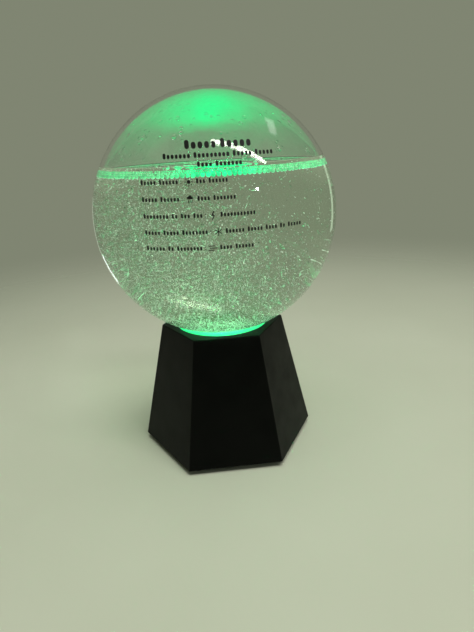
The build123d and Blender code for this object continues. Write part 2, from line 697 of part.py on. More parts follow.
# Where the wires are soldered.
POSITIVE_TAB = Vector(CONTACT_FACE_X + CONTACT_THICKNESS / 2, POSITIVE_Y, TAB_TOP_Z)
NEGATIVE_TAB = Vector(-CONTACT_FACE_X - CONTACT_THICKNESS / 2, NEGATIVE_Y, TAB_TOP_Z)
SWITCH_PAD_DEPTH = BOARD_FACE_DEPTH + SWITCH_BOARD_THICKNESS
PAD_X = 4.0
PAD_Y = 2.0

# Where they run: up from the tabs and out from the pads, then past these corners.
BATTERY_TAB_RUN = 8.5
BATTERY_WIRE_CORNERS = ((15, 2, 31), (5, 4, 25))
BATTERY_PAD_RUN = 9.0
GROUND_TAB_RUN = 7.5
GROUND_WIRE_CORNERS = ((-13, 5, 32), (-13, 5, LED_BOARD_UNDERSIDE_Z))
SWITCH_PAD_RUN = 6.0
SWITCH_WIRE_CORNERS = ((-4.5, 6.5, 24.5), (-5, 6, 32), (-5, 6, LED_BOARD_UNDERSIDE_Z))
BEND_SHARE = 0.45  # of the shorter run at a corner that its arc may use up


def switch_pad(x, run=0.0):
    """A point straight behind a solder pad of the switch board, this far out from it."""
    return BACK.from_local_coords(Vector(-x, PAD_Y, -SWITCH_PAD_DEPTH - run))


def wire(points):
    """A wire along straight runs, joined by arcs as large as the runs allow."""
    points = [Vector(p) for p in points]
    radii = []
    for before, corner, after in zip(points, points[1:], points[2:]):
        shorter = min((corner - before).length, (after - corner).length)
        turn = (corner - before).get_angle(after - corner)
        radii.append(BEND_SHARE * shorter / tan(radians(turn / 2)))
    with BuildPart() as tube:
        with BuildLine() as route:
            FilletPolyline(*points, radius=radii)
        with BuildSketch(Plane(origin=route.line @ 0, z_dir=route.line % 0)):
            Circle(WIRE_RADIUS)
        sweep()
    return tube.part


save(
    wire(
        [
            POSITIVE_TAB,
            POSITIVE_TAB + Vector(0, 0, BATTERY_TAB_RUN),
            *BATTERY_WIRE_CORNERS,
            switch_pad(PAD_X, BATTERY_PAD_RUN),
            switch_pad(PAD_X),
        ]
    ),
    "battery_wire",
)
save(
    wire([NEGATIVE_TAB, NEGATIVE_TAB + Vector(0, 0, GROUND_TAB_RUN), *GROUND_WIRE_CORNERS]),
    "ground_wire",
)
save(
    wire([switch_pad(-PAD_X), switch_pad(-PAD_X, SWITCH_PAD_RUN), *SWITCH_WIRE_CORNERS]),
    "switch_wire",
)

# ---------------------------------------------------------------- globe, stopper and contents

with BuildPart() as glass_globe:
    with BuildSketch(Plane.XZ):
        with BuildLine():
            CenterArc((0, GLOBE_CENTRE_Z), GLOBE_RADIUS, -90, 180)
            Line((0, GLOBE_CENTRE_Z + GLOBE_RADIUS), (0, GLOBE_CENTRE_Z + GLASS_INNER_RADIUS))
            CenterArc((0, GLOBE_CENTRE_Z), GLASS_INNER_RADIUS, -90, 180)
            Line((0, GLOBE_CENTRE_Z - GLASS_INNER_RADIUS), (0, GLOBE_CENTRE_Z - GLOBE_RADIUS))
        make_face()
    revolve(axis=Axis.Z)
    with BuildSketch(Plane.XY.offset(GLOBE_CENTRE_Z - GLOBE_RADIUS - GLASS_WALL)):
        Circle(FILL_HOLE_RADIUS)
    extrude(amount=3 * GLASS_WALL, mode=Mode.SUBTRACT)

save(glass_globe.part, "glass_globe")

STOPPER_GAP = 0.05
STOPPER_FLANGE_RADIUS = 5.6
STOPPER_BOTTOM_Z = 53.4
STOPPER_TOP_Z = 57.5
stopper_radius = FILL_HOLE_RADIUS - STOPPER_GAP
flange_sphere = GLOBE_RADIUS + STOPPER_GAP
flange_mid = (stopper_radius + STOPPER_FLANGE_RADIUS) / 2

with BuildPart() as filling_stopper:
    with BuildSketch(Plane.XZ):
        with BuildLine():
            Polyline(
                (stopper_radius, height_on_sphere(flange_sphere, stopper_radius)),
                (stopper_radius, STOPPER_TOP_Z),
                (0, STOPPER_TOP_Z),
                (0, STOPPER_BOTTOM_Z),
                (STOPPER_FLANGE_RADIUS, STOPPER_BOTTOM_Z),
                (STOPPER_FLANGE_RADIUS, height_on_sphere(flange_sphere, STOPPER_FLANGE_RADIUS)),
            )
            ThreePointArc(
                (STOPPER_FLANGE_RADIUS, height_on_sphere(flange_sphere, STOPPER_FLANGE_RADIUS)),
                (flange_mid, height_on_sphere(flange_sphere, flange_mid)),
                (stopper_radius, height_on_sphere(flange_sphere, stopper_radius)),
            )
        make_face()
    revolve(axis=Axis.Z)

save(filling_stopper.part, "filling_stopper")

LIQUID_GAP = 0.05
LIQUID_RADIUS = GLASS_INNER_RADIUS - LIQUID_GAP
SOLUTION_MID_Z = (LIQUID_LEVEL_Z + CRYSTAL_TOP_Z) / 2

with BuildPart() as solution:
    with BuildSketch(Plane.XZ):
        with BuildLine():
            Polyline(
                (radius_on_sphere(LIQUID_RADIUS, LIQUID_LEVEL_Z), LIQUID_LEVEL_Z),
                (0, LIQUID_LEVEL_Z),
                (0, CRYSTAL_TOP_Z),
                (radius_on_sphere(LIQUID_RADIUS, CRYSTAL_TOP_Z), CRYSTAL_TOP_Z),
            )
            ThreePointArc(
                (radius_on_sphere(LIQUID_RADIUS, CRYSTAL_TOP_Z), CRYSTAL_TOP_Z),
                (radius_on_sphere(LIQUID_RADIUS, SOLUTION_MID_Z), SOLUTION_MID_Z),
                (radius_on_sphere(LIQUID_RADIUS, LIQUID_LEVEL_Z), LIQUID_LEVEL_Z),
            )
        make_face()
    revolve(axis=Axis.Z)

save(solution.part, "solution")

crystal_inner = stopper_radius + STOPPER_GAP
crystal_low_z = height_on_sphere(LIQUID_RADIUS, crystal_inner)
crystal_mid_z = (crystal_low_z + CRYSTAL_TOP_Z) / 2

with BuildPart() as crystal_bed:
    with BuildSketch(Plane.XZ):
        with BuildLine():
            Polyline(
                (radius_on_sphere(LIQUID_RADIUS, CRYSTAL_TOP_Z), CRYSTAL_TOP_Z),
                (0, CRYSTAL_TOP_Z),
                (0, STOPPER_TOP_Z + STOPPER_GAP),
                (crystal_inner, STOPPER_TOP_Z + STOPPER_GAP),
                (crystal_inner, crystal_low_z),
            )
            ThreePointArc(
                (crystal_inner, crystal_low_z),
                (radius_on_sphere(LIQUID_RADIUS, crystal_mid_z), crystal_mid_z),
                (radius_on_sphere(LIQUID_RADIUS, CRYSTAL_TOP_Z), CRYSTAL_TOP_Z),
            )
        make_face()
    revolve(axis=Axis.Z)

save(crystal_bed.part, "crystal_bed")

# ---------------------------------------------------------------- printed weather key

# Wordless print on the front of the glass: rows of plain bars, with a small weather sign in
# each of the five lower rows. Heights are measured from the globe's centre.
INK_GAP = 0.02
INK_THICKNESS = 0.08
INK_INNER_RADIUS = GLOBE_RADIUS + INK_GAP
INK_OUTER_RADIUS = INK_INNER_RADIUS + INK_THICKNESS
ROW_LEFT_X = -26.4
ROW_PITCH = 5.3
FIRST_ROW_Z = 17.0
BAR_HEIGHT = 1.1
UNIT = 1.08  # the bars are whole numbers of these long
BAR_GAP = 0.8
SIGN_SIZE = 2.8
DOT_RADIUS = 0.3  # of the two dots in front of a sign

# Parts of the signs, as shares of a sign's size.
SUN_RADIUS = 0.22
RAY_CIRCLE = 0.42
RAY_SIZE = (0.18, 0.09)
RAY_COUNT = 8
CLOUD_BASE = (0.9, 0.3)
CLOUD_PUFFS = ((-0.12, 0.16, 0.22), (0.16, 0.1, 0.16))  # across, up, radius
CLOUD_LIFT = 0.15
DROP_SIZE = (0.24, 0.1)
DROP_PITCH = 0.25
DROP_FALL = 0.3
DROP_TILT = 70
BOLT_CORNERS = (
    (0.15, 0.5),
    (-0.3, -0.05),
    (-0.05, -0.05),
    (-0.2, -0.5),
    (0.3, 0.125),
    (0.025, 0.125),
)
SNOW_ARM_WIDTH = 0.12
STREAKS = ((-1, 0.6), (0, 1.0), (1, 0.75))  # place in the stack, length
STREAK_PITCH = 0.3
STREAK_WIDTH = 0.13

HEADING_ROWS = (  # height, bar height, length unit, length of each bar in units
    (28.0, 2.2, 2.16, (5, 5)),
    (24.8, 1.4, 1.32, (7, 9, 5, 5)),
    (22.0, 1.3, 1.28, (4, 7)),
)
KEY_ROWS = (  # lengths of the bars before and after the sign, in units
    ((5, 6), (3, 6)),
    ((5, 6), (4, 7)),
    ((8, 2, 3, 3), (11,)),
    ((5, 5, 8), (6, 5, 4, 2, 5)),
    ((6, 2, 8), (4, 6)),
)


def row_width(lengths, unit):
    """Length of a row of bars with the gaps between them."""
    return sum(lengths) * unit + (len(lengths) - 1) * BAR_GAP


def bar_row(left, z, lengths, unit, height):
    """Rounded bars in a row from the left. Gives back where the row ends."""
    for length in lengths:
        width = length * unit
        with Locations((left + width / 2, z)):
            SlotOverall(width, height)
        left += width + BAR_GAP
    return left - BAR_GAP


def sun_sign(x, z):
    """A disc with rays."""
    with Locations((x, z)):
        Circle(SIGN_SIZE * SUN_RADIUS)
        with PolarLocations(SIGN_SIZE * RAY_CIRCLE, RAY_COUNT):
            Rectangle(SIGN_SIZE * RAY_SIZE[0], SIGN_SIZE * RAY_SIZE[1])


def cloud_outline(x, z):
    """A small cloud of two discs on a flat slot."""
    with Locations((x, z)):
        SlotOverall(SIGN_SIZE * CLOUD_BASE[0], SIGN_SIZE * CLOUD_BASE[1])
    for across, up, radius in CLOUD_PUFFS:
        with Locations((x + SIGN_SIZE * across, z + SIGN_SIZE * up)):
            Circle(SIGN_SIZE * radius)


def rain_sign(x, z):
    """A cloud over three drops."""
    cloud_outline(x, z + SIGN_SIZE * CLOUD_LIFT)
    for drop in (-1, 0, 1):
        with Locations((x + drop * SIGN_SIZE * DROP_PITCH, z - SIGN_SIZE * DROP_FALL)):
            SlotOverall(SIGN_SIZE * DROP_SIZE[0], SIGN_SIZE * DROP_SIZE[1], rotation=DROP_TILT)


def bolt_sign(x, z):
    """A zigzag flash."""
    with Locations((x, z)):
        Polygon(*[(SIGN_SIZE * across, SIGN_SIZE * up) for across, up in BOLT_CORNERS], align=None)


def snow_sign(x, z):
    """Three crossed bars."""
    for angle in (0, 60, 120):
        with Locations((x, z)):
            SlotOverall(SIGN_SIZE, SIGN_SIZE * SNOW_ARM_WIDTH, rotation=angle)


def wind_sign(x, z):
    """Three level streaks of different lengths."""
    for place, length in STREAKS:
        with Locations((x + SIGN_SIZE * (length - 1) / 2, z + place * SIGN_SIZE * STREAK_PITCH)):
            SlotOverall(SIGN_SIZE * length, SIGN_SIZE * STREAK_WIDTH)


SIGNS = (sun_sign, rain_sign, bolt_sign, snow_sign, wind_sign)

with BuildPart() as ink_layer:
    Sphere(INK_OUTER_RADIUS)
    Sphere(INK_INNER_RADIUS, mode=Mode.SUBTRACT)

with BuildPart() as weather_print:
    with BuildSketch(Plane.XZ.offset(GLOBE_RADIUS / 2)):
        for z, height, unit, lengths in HEADING_ROWS:
            bar_row(-row_width(lengths, unit) / 2, z, lengths, unit, height)
        for row, ((before_sign, after_sign), sign) in enumerate(zip(KEY_ROWS, SIGNS)):
            z = FIRST_ROW_Z - row * ROW_PITCH
            dots_x = bar_row(ROW_LEFT_X, z, before_sign, UNIT, BAR_HEIGHT) + BAR_GAP
            with Locations((dots_x, z - BAR_HEIGHT / 3), (dots_x, z + BAR_HEIGHT / 3)):
                Circle(DOT_RADIUS)
            sign_x = dots_x + BAR_GAP + SIGN_SIZE / 2
            sign(sign_x, z)
            bar_row(sign_x + SIGN_SIZE / 2 + BAR_GAP, z, after_sign, UNIT, BAR_HEIGHT)
    extrude(amount=GLOBE_RADIUS)
    add(ink_layer.part, mode=Mode.INTERSECT)

save(weather_print.part.moved(Location((0, 0, GLOBE_CENTRE_Z))), "weather_print")
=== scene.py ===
"""A storm glass on its lit base: the looks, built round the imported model. Lengths are in metres."""

import math

import bmesh
import bpy
import numpy as np
from mathutils import Matrix, Quaternion, Vector


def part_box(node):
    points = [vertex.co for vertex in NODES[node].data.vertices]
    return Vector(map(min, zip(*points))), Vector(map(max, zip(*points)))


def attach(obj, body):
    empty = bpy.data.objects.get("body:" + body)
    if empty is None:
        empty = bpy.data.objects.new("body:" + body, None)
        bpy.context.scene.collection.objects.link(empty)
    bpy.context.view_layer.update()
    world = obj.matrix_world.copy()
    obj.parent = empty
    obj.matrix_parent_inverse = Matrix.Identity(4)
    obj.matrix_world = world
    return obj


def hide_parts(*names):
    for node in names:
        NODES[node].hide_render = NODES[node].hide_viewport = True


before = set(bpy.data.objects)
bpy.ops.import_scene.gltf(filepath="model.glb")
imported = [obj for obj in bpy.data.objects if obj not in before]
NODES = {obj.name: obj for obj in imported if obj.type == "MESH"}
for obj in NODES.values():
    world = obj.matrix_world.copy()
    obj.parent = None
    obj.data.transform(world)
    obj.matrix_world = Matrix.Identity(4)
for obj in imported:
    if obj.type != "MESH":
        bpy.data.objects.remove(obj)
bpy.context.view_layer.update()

MM = 0.001
SEED = 1861

# ---------------------------------------------------------------- sizes read from the frame

globe_low, globe_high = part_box("glass_globe")
GLOBE_RADIUS = (globe_high.x - globe_low.x) / 2
CENTRE_Z = globe_high.z - GLOBE_RADIUS
GLASS_WALL = 1.5 * MM
INNER_RADIUS = GLOBE_RADIUS - GLASS_WALL
LEVEL_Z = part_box("solution")[1].z - CENTRE_Z  # heights on the globe are measured from its centre
BED_TOP_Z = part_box("crystal_bed")[1].z - CENTRE_Z
STOPPER_TOP_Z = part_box("filling_stopper")[1].z - CENTRE_Z
FILL_HOLE_RADIUS = 4.0 * MM
BODY_TOP_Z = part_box("base_shell")[1].z

# ---------------------------------------------------------------- mesh helpers

SEGMENTS = 256  # round every lathed piece


def add_piece(name, vertices, faces, smooth=True):
    """A mesh object from lists of points and faces, with its faces turned outwards."""
    mesh = bpy.data.meshes.new(name)
    mesh.from_pydata(vertices, [], faces)
    mesh.update()
    work = bmesh.new()
    work.from_mesh(mesh)
    bmesh.ops.recalc_face_normals(work, faces=work.faces)
    work.to_mesh(mesh)
    work.free()
    mesh.polygons.foreach_set("use_smooth", [smooth] * len(mesh.polygons))
    piece = bpy.data.objects.new(name, mesh)
    bpy.context.scene.collection.objects.link(piece)
    return piece


def lathe(name, profile):
    """A closed surface turned about the Z axis.

    The profile is a row of (radius, height) points that starts and ends on the axis.
    """
    turns = [2 * math.pi * i / SEGMENTS for i in range(SEGMENTS)]
    vertices = [(0, 0, profile[0][1])]
    for radius, height in profile[1:-1]:
        vertices += [(radius * math.cos(a), radius * math.sin(a), height) for a in turns]
    vertices.append((0, 0, profile[-1][1]))
    last = len(vertices) - 1
    rings = len(profile) - 2
    faces = []
    for i in range(SEGMENTS):
        faces.append((0, 1 + i, 1 + (i + 1) % SEGMENTS))
    for ring in range(rings - 1):
        here = 1 + ring * SEGMENTS
        below = here + SEGMENTS
        for i in range(SEGMENTS):
            after = (i + 1) % SEGMENTS
            faces.append((here + i, below + i, below + after, here + after))
    edge = 1 + (rings - 1) * SEGMENTS
    for i in range(SEGMENTS):
        faces.append((last, edge + (i + 1) % SEGMENTS, edge + i))
    return add_piece(name, vertices, faces)


def arc_points(radius, from_z, to_z, count):
    """Points along a sphere's section between two heights, evenly spaced in angle."""
    first = math.asin(max(-1, min(1, from_z / radius)))
    last = math.asin(max(-1, min(1, to_z / radius)))
    angles = [first + (last - first) * i / count for i in range(count + 1)]
    return [(radius * math.cos(a), radius * math.sin(a)) for a in angles]


def set_down(piece):
    """Moves a globe piece from its own centre to the globe's place, and lets it ride there."""
    piece.data.transform(Matrix.Translation((0, 0, CENTRE_Z)))
    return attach(piece, "globe")


def random_turns(rng, count):
    """Rotation matrices spread evenly over all directions."""
    quaternions = rng.normal(size=(count, 4))
    w, x, y, z = (quaternions / np.linalg.norm(quaternions, axis=1)[:, None]).T
    rows = (
        (1 - 2 * (y * y + z * z), 2 * (x * y - z * w), 2 * (x * z + y * w)),
        (2 * (x * y + z * w), 1 - 2 * (x * x + z * z), 2 * (y * z - x * w)),
        (2 * (x * z - y * w), 2 * (y * z + x * w), 1 - 2 * (x * x + y * y)),
    )
    return np.array(rows).transpose(2, 0, 1)


def many(name, template, faces, places, turns, sizes, smooth=False):
    """Copies of one small solid, each with its own place, rotation and size along its three axes."""
    shaped = template[None] * sizes[:, None, :]
    points = np.einsum("nij,nkj->nki", turns, shaped) + places[:, None, :]
    step = len(template)
    all_faces = [tuple(step * n + k for k in face) for n in range(len(places)) for face in faces]
    return add_piece(name, points.reshape(-1, 3).tolist(), all_faces, smooth)


# ---------------------------------------------------------------- material helpers


def new_material(name, **values):
    """A Principled material with plain values on its own sockets."""
    material = bpy.data.materials.new(name)
    material.use_nodes = True
    tree = material.node_tree
    shader = next(n for n in tree.nodes if n.type == "BSDF_PRINCIPLED")
    for socket, value in values.items():
        target = shader.inputs[socket.replace("_", " ")]
        target.default_value = (*value, 1.0) if isinstance(value, tuple) else value
    return material, tree, shader


def node(tree, kind, links=(), **settings):
    """A shader node with its settings, its plain inputs and its links."""
    made = tree.nodes.new(kind)
    inputs = settings.pop("inputs", {})
    for key, value in settings.items():
        setattr(made, key, value)
    for key, value in inputs.items():
        made.inputs[key].default_value = value
    for key, source in links:
        tree.links.new(source, made.inputs[key])
    return made


def object_place(tree):
    """Where a point lies in the piece's own frame, in metres."""
    return node(tree, "ShaderNodeTexCoord").outputs["Object"]


def noise(tree, size, detail=3.0, place=None, stretch=None):
    """Smooth noise whose features are about this size."""
    place = place or object_place(tree)
    if stretch:
        mapping = node(tree, "ShaderNodeMapping", [("Vector", place)])
        mapping.inputs["Scale"].default_value = stretch
        place = mapping.outputs[0]
    return node(
        tree, "ShaderNodeTexNoise", [("Vector", place)], inputs={"Scale": 1 / size, "Detail": detail}
    ).outputs["Fac"]


def spread(tree, value, low, high, from_low=0.3, from_high=0.7):
    """A value from one range carried over to another."""
    return node(
        tree,
        "ShaderNodeMapRange",
        [("Value", value)],
        inputs={"From Min": from_low, "From Max": from_high, "To Min": low, "To Max": high},
    ).outputs["Result"]


def blend_colours(tree, share, first, second):
    """A colour between two, by a share from 0 to 1. Each is three numbers or a socket."""
    mix = node(tree, "ShaderNodeMix", [("Factor", share)], data_type="RGBA")
    for index, colour in ((6, first), (7, second)):
        if isinstance(colour, tuple):
            mix.inputs[index].default_value = (*colour, 1.0)
        else:
            tree.links.new(colour, mix.inputs[index])
    return mix.outputs[2]


def bumped(tree, shader, height, depth, strength=1.0):
    """Relief of this depth on the surface."""
    bump = node(
        tree, "ShaderNodeBump", [("Height", height)], inputs={"Distance": depth, "Strength": strength}
    )
    tree.links.new(bump.outputs[0], shader.inputs["Normal"])


def let_lamps_through(tree, shader, tint):
    """Light from the lamps goes straight through this clear surface."""
    output = next(n for n in tree.nodes if n.type == "OUTPUT_MATERIAL")
    clear = node(tree, "ShaderNodeBsdfTransparent", inputs={"Color": (*tint, 1.0)})
    shadow = node(tree, "ShaderNodeLightPath").outputs["Is Shadow Ray"]
    mix = node(tree, "ShaderNodeMixShader", [(0, shadow), (1, shader.outputs[0]), (2, clear.outputs[0])])
    tree.links.new(mix.outputs[0], output.inputs["Surface"])


def dress(names, material):
    """Gives CAD nodes a material."""
    for name in names:
        NODES[name].data.materials.clear()
        NODES[name].data.materials.append(material)


# ---------------------------------------------------------------- materials of the base

WORN_EDGE_RADIUS = 0.7 * MM
GRAIN_DEPTH = 0.012 * MM
COPPER_SHARE = 0.3  # of a cell's length, at its positive end
BARE_TOP = 1.1 * MM  # steel beyond the sleeve at the positive end, the nub included
BARE_BASE = 0.3 * MM
SLEEVE_EDGE = 0.1 * MM  # over which one colour of a cell gives way to the next
TRACK_PITCH = 9 * MM
TRACK_HEIGHT = 0.03 * MM


def moulded_plastic(name, dark, light, roughness, grain, wear):
    """Satin moulded plastic with a fine spark-eroded grain and paler edges where hands rub it."""
    material, tree, shader = new_material(name, Specular_IOR_Level=0.07)
    cloud = spread(tree, noise(tree, 14 * MM, 4.0), 0.0, 1.0)
    colour = blend_colours(tree, cloud, dark, light)
    rounded = node(tree, "ShaderNodeBevel", samples=4, inputs={"Radius": WORN_EDGE_RADIUS}).outputs[0]
    normal = node(tree, "ShaderNodeNewGeometry").outputs["Normal"]
    agree = node(tree, "ShaderNodeVectorMath", [(0, rounded), (1, normal)], operation="DOT_PRODUCT")
    edge = spread(tree, agree.outputs["Value"], 1.0, 0.0, 0.85, 0.995)
    patches = spread(tree, noise(tree, 5 * MM, 5.0), 0.0, 1.0, 0.42, 0.66)
    worn = node(tree, "ShaderNodeMath", [(0, edge), (1, patches)], operation="MULTIPLY").outputs[0]
    tree.links.new(blend_colours(tree, worn, colour, wear), shader.inputs["Base Color"])
    rough = spread(tree, noise(tree, 9 * MM, 4.0), roughness - 0.05, roughness + 0.07)
    tree.links.new(rough, shader.inputs["Roughness"])
    bumped(tree, shader, noise(tree, grain, 2.0), GRAIN_DEPTH, 0.8)
    return material


def soft_rubber():
    """Matt grey-black rubber with dust in its pores."""
    material, tree, shader = new_material("soft_rubber", Specular_IOR_Level=0.3)
    dust = spread(tree, noise(tree, 1.2 * MM, 6.0), 0.0, 1.0, 0.5, 0.75)
    colour = blend_colours(tree, dust, (0.013, 0.014, 0.012), (0.05, 0.05, 0.045))
    tree.links.new(colour, shader.inputs["Base Color"])
    tree.links.new(spread(tree, noise(tree, 2 * MM), 0.75, 0.95), shader.inputs["Roughness"])
    bumped(tree, shader, noise(tree, 0.4 * MM, 4.0), 0.03 * MM)
    return material


def bright_metal(name, colour, roughness, brushed):
    """Plated metal, brushed along X where brushed is over 1, with faint tarnish."""
    material, tree, shader = new_material(name, Metallic=1.0)
    tarnish = spread(tree, noise(tree, 1.5 * MM, 5.0), 0.0, 1.0, 0.45, 0.75)
    darker = tuple(c * 0.72 for c in colour)
    tree.links.new(blend_colours(tree, tarnish, colour, darker), shader.inputs["Base Color"])
    lines = noise(tree, 0.25 * MM, 2.0, stretch=(1 / brushed, 1.0, 1.0))
    tree.links.new(spread(tree, lines, roughness - 0.08, roughness + 0.1), shader.inputs["Roughness"])
    bumped(tree, shader, lines, 0.004 * MM)
    return material


def cell_sleeve(name, low, high, toward):
    """A cell's printed sleeve: a dark can, a copper-coloured band at its positive end, steel ends."""
    material, tree, shader = new_material(name, Roughness=0.3, Coat_Weight=0.3)
    x = node(tree, "ShaderNodeSeparateXYZ", [("Vector", object_place(tree))]).outputs["X"]
    length = high.x - low.x
    nub_x, flat_x = (high.x, low.x) if toward > 0 else (low.x, high.x)
    blur = toward * SLEEVE_EDGE
    band_x = nub_x - toward * length * COPPER_SHARE
    band = spread(tree, x, 0.0, 1.0, band_x, band_x + blur)
    grain = spread(tree, noise(tree, 0.8 * MM, 4.0), 0.0, 0.25)
    dark = blend_colours(tree, grain, (0.012, 0.016, 0.03), (0.05, 0.06, 0.1))
    colour = blend_colours(tree, band, dark, (0.52, 0.2, 0.07))
    top_x = nub_x - toward * BARE_TOP
    base_x = flat_x + toward * BARE_BASE
    top = spread(tree, x, 0.0, 1.0, top_x - blur, top_x)
    base = spread(tree, x, 1.0, 0.0, base_x, base_x + blur)
    steel = node(tree, "ShaderNodeMath", [(0, top), (1, base)], operation="MAXIMUM").outputs[0]
    tree.links.new(blend_colours(tree, steel, colour, (0.6, 0.59, 0.56)), shader.inputs["Base Color"])
    tree.links.new(steel, shader.inputs["Metallic"])
    bumped(tree, shader, noise(tree, 0.5 * MM), 0.006 * MM)
    return material


def circuit_board(name, mask, copper):
    """Solder mask over raised copper tracks."""
    material, tree, shader = new_material(name, Roughness=0.35, Coat_Weight=0.2)
    place = object_place(tree)
    squares = node(
        tree,
        "ShaderNodeTexBrick",
        [("Vector", place)],
        inputs={
            "Scale": 1 / TRACK_PITCH,
            "Mortar Size": 0.035,
            "Mortar Smooth": 0.1,
            "Brick Width": 0.7,
            "Row Height": 0.35,
        },
    )
    colour = blend_colours(tree, squares.outputs["Fac"], mask, copper)
    speckle = spread(tree, noise(tree, 0.3 * MM, 3.0), 0.0, 0.12)
    tree.links.new(blend_colours(tree, speckle, colour, (0.6, 0.6, 0.5)), shader.inputs["Base Color"])
    bumped(tree, shader, squares.outputs["Fac"], TRACK_HEIGHT)
    return material


def small_part(name, colour, other, roughness, size):
    """Speckled moulded or fired material of a small electrical part."""
    material, tree, shader = new_material(name)
    speckle = spread(tree, noise(tree, size, 4.0), 0.0, 1.0)
    tree.links.new(blend_colours(tree, speckle, colour, other), shader.inputs["Base Color"])
    rough = spread(tree, noise(tree, 2 * size), roughness - 0.08, roughness + 0.08)
    tree.links.new(rough, shader.inputs["Roughness"])
    bumped(tree, shader, noise(tree, size / 2), 0.008 * MM)
    return material


def wire_insulation(name, colour):
    """Smooth vinyl insulation, slightly uneven and dusty."""
    material, tree, shader = new_material(name, Coat_Weight=0.15)
    shade = spread(tree, noise(tree, 2.5 * MM, 4.0), 0.0, 1.0)
    darker = tuple(c * 0.7 for c in colour)
    tree.links.new(blend_colours(tree, shade, colour, darker), shader.inputs["Base Color"])
    tree.links.new(spread(tree, noise(tree, 1 * MM), 0.3, 0.5), shader.inputs["Roughness"])
    bumped(tree, shader, noise(tree, 0.6 * MM), 0.01 * MM)
    return material


GLOW = (0.012, 0.93, 0.30)  # the lamps' green


def lit_plastic(name, tint, strength, roughness, clearness):
    """Frosted or clear soft plastic that the lamps shine through."""
    material, tree, shader = new_material(
        name, Emission_Color=GLOW, Emission_Strength=strength, Transmission_Weight=clearness
    )
    cloud = spread(tree, noise(tree, 3 * MM, 4.0), 0.0, 1.0)
    darker = tuple(c * 0.8 for c in tint)
    tree.links.new(blend_colours(tree, cloud, tint, darker), shader.inputs["Base Color"])
    rough = spread(tree, noise(tree, 1 * MM), roughness - 0.06, roughness + 0.1)
    tree.links.new(rough, shader.inputs["Roughness"])
    bumped(tree, shader, noise(tree, 0.5 * MM, 3.0), 0.015 * MM)
    return material


LEDS = ["led_1", "led_2", "led_3", "led_4"]
RESISTORS = ["resistor_1", "resistor_2", "resistor_3"]
CELL_DIRECTIONS = {"cell_1": 1, "cell_2": -1, "cell_3": 1}  # the way along X that each nub points
WIRE_COLOURS = {
    "battery_wire": (0.42, 0.02, 0.015),
    "ground_wire": (0.012, 0.012, 0.012),
    "switch_wire": (0.55, 0.4, 0.03),
}
SMALL_PARTS = (  # CAD nodes, material, colour, the colour of its specks, roughness, size of the specks
    (["push_switch"], "switch_plastic", (0.01, 0.01, 0.011), (0.02, 0.02, 0.02), 0.45, 0.8 * MM),
    (["controller_chip"], "chip_plastic", (0.008, 0.008, 0.009), (0.02, 0.02, 0.02), 0.55, 0.3 * MM),
    (RESISTORS, "resistor_ceramic", (0.02, 0.02, 0.03), (0.06, 0.06, 0.07), 0.4, 0.3 * MM),
    (["reflector"], "reflector_white", (0.78, 0.8, 0.77), (0.68, 0.7, 0.66), 0.3, 3 * MM),
)
LIT_PARTS = (  # CAD nodes, material, colour, strength of the glow, roughness, clearness
    (LEDS, "led_package", (0.8, 0.85, 0.8), 3.0, 0.3, 0.0),
    (["diffuser"], "diffuser_frosted", (0.55, 0.85, 0.68), 1.6, 0.5, 0.2),
    (["seat_ring"], "seat_silicone", (0.05, 0.45, 0.17), 0.8, 0.32, 0.15),
    (["filling_stopper"], "stopper_silicone", (0.6, 0.75, 0.65), 0.12, 0.4, 0.25),
)


def dress_base():
    """Materials for every CAD node that stays."""
    body = moulded_plastic(
        "black_plastic",
        dark=(0.0014, 0.0018, 0.0015),
        light=(0.003, 0.0034, 0.003),
        roughness=0.4,
        grain=0.28 * MM,
        wear=(0.012, 0.013, 0.012),
    )
    dress(["base_shell", "bottom_cover", "battery_door"], body)
    cap = moulded_plastic(
        "button_plastic",
        dark=(0.005, 0.0055, 0.005),
        light=(0.008, 0.0085, 0.008),
        roughness=0.34,
        grain=0.2 * MM,
        wear=(0.04, 0.042, 0.04),
    )
    dress(["button_cap"], cap)
    dress(["foot_1", "foot_2", "foot_3"], soft_rubber())
    steel = bright_metal("screw_steel", (0.56, 0.56, 0.54), 0.32, 1.0)
    dress(["cover_screws", "board_screws", "switch_screws"], steel)
    nickel = bright_metal("contact_nickel", (0.72, 0.69, 0.62), 0.25, 6.0)
    dress(["positive_contact", "negative_contact", "bridge_contact_1", "bridge_contact_2"], nickel)
    for name, toward in CELL_DIRECTIONS.items():
        dress([name], cell_sleeve(name + "_sleeve", *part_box(name), toward))
    for names, *look in SMALL_PARTS:
        dress(names, small_part(*look))
    dress(["switch_board"], circuit_board("board_laminate", (0.01, 0.09, 0.03), (0.02, 0.16, 0.05)))
    dress(["led_board"], circuit_board("led_board_laminate", (0.62, 0.64, 0.6), (0.72, 0.73, 0.68)))
    for names, *look in LIT_PARTS:
        dress(names, lit_plastic(*look))
    for name, colour in WIRE_COLOURS.items():
        dress([name], wire_insulation(name + "_vinyl", colour))


# ---------------------------------------------------------------- globe and liquid

GLASS_IOR = 1.47
LIQUID_IOR = 1.363
WATER_IOR = 1.33
GLASS_RIPPLE = 0.016 * MM
RIPPLE_SIZE = 16 * MM
OUTSIDE_STEPS = 160
WETTED_STEPS = 100
DRY_STEPS = 48
SURFACE_STEPS = 28
MENISCUS_HEIGHT = 0.9 * MM
MENISCUS_REACH = 1.6 * MM
WALL_GAP = 0.02 * MM


def clear_material(name, tint, ior, lamp_tint, ripple=0.0):
    """A clear surface that bends light, with slow ripples in it where ripple is over 0."""
    material, tree, shader = new_material(
        name, Base_Color=tint, Roughness=0.0, Transmission_Weight=1.0, IOR=ior
    )
    if ripple:
        bumped(tree, shader, noise(tree, RIPPLE_SIZE, 1.0), ripple)
    let_lamps_through(tree, shader, lamp_tint)
    return material


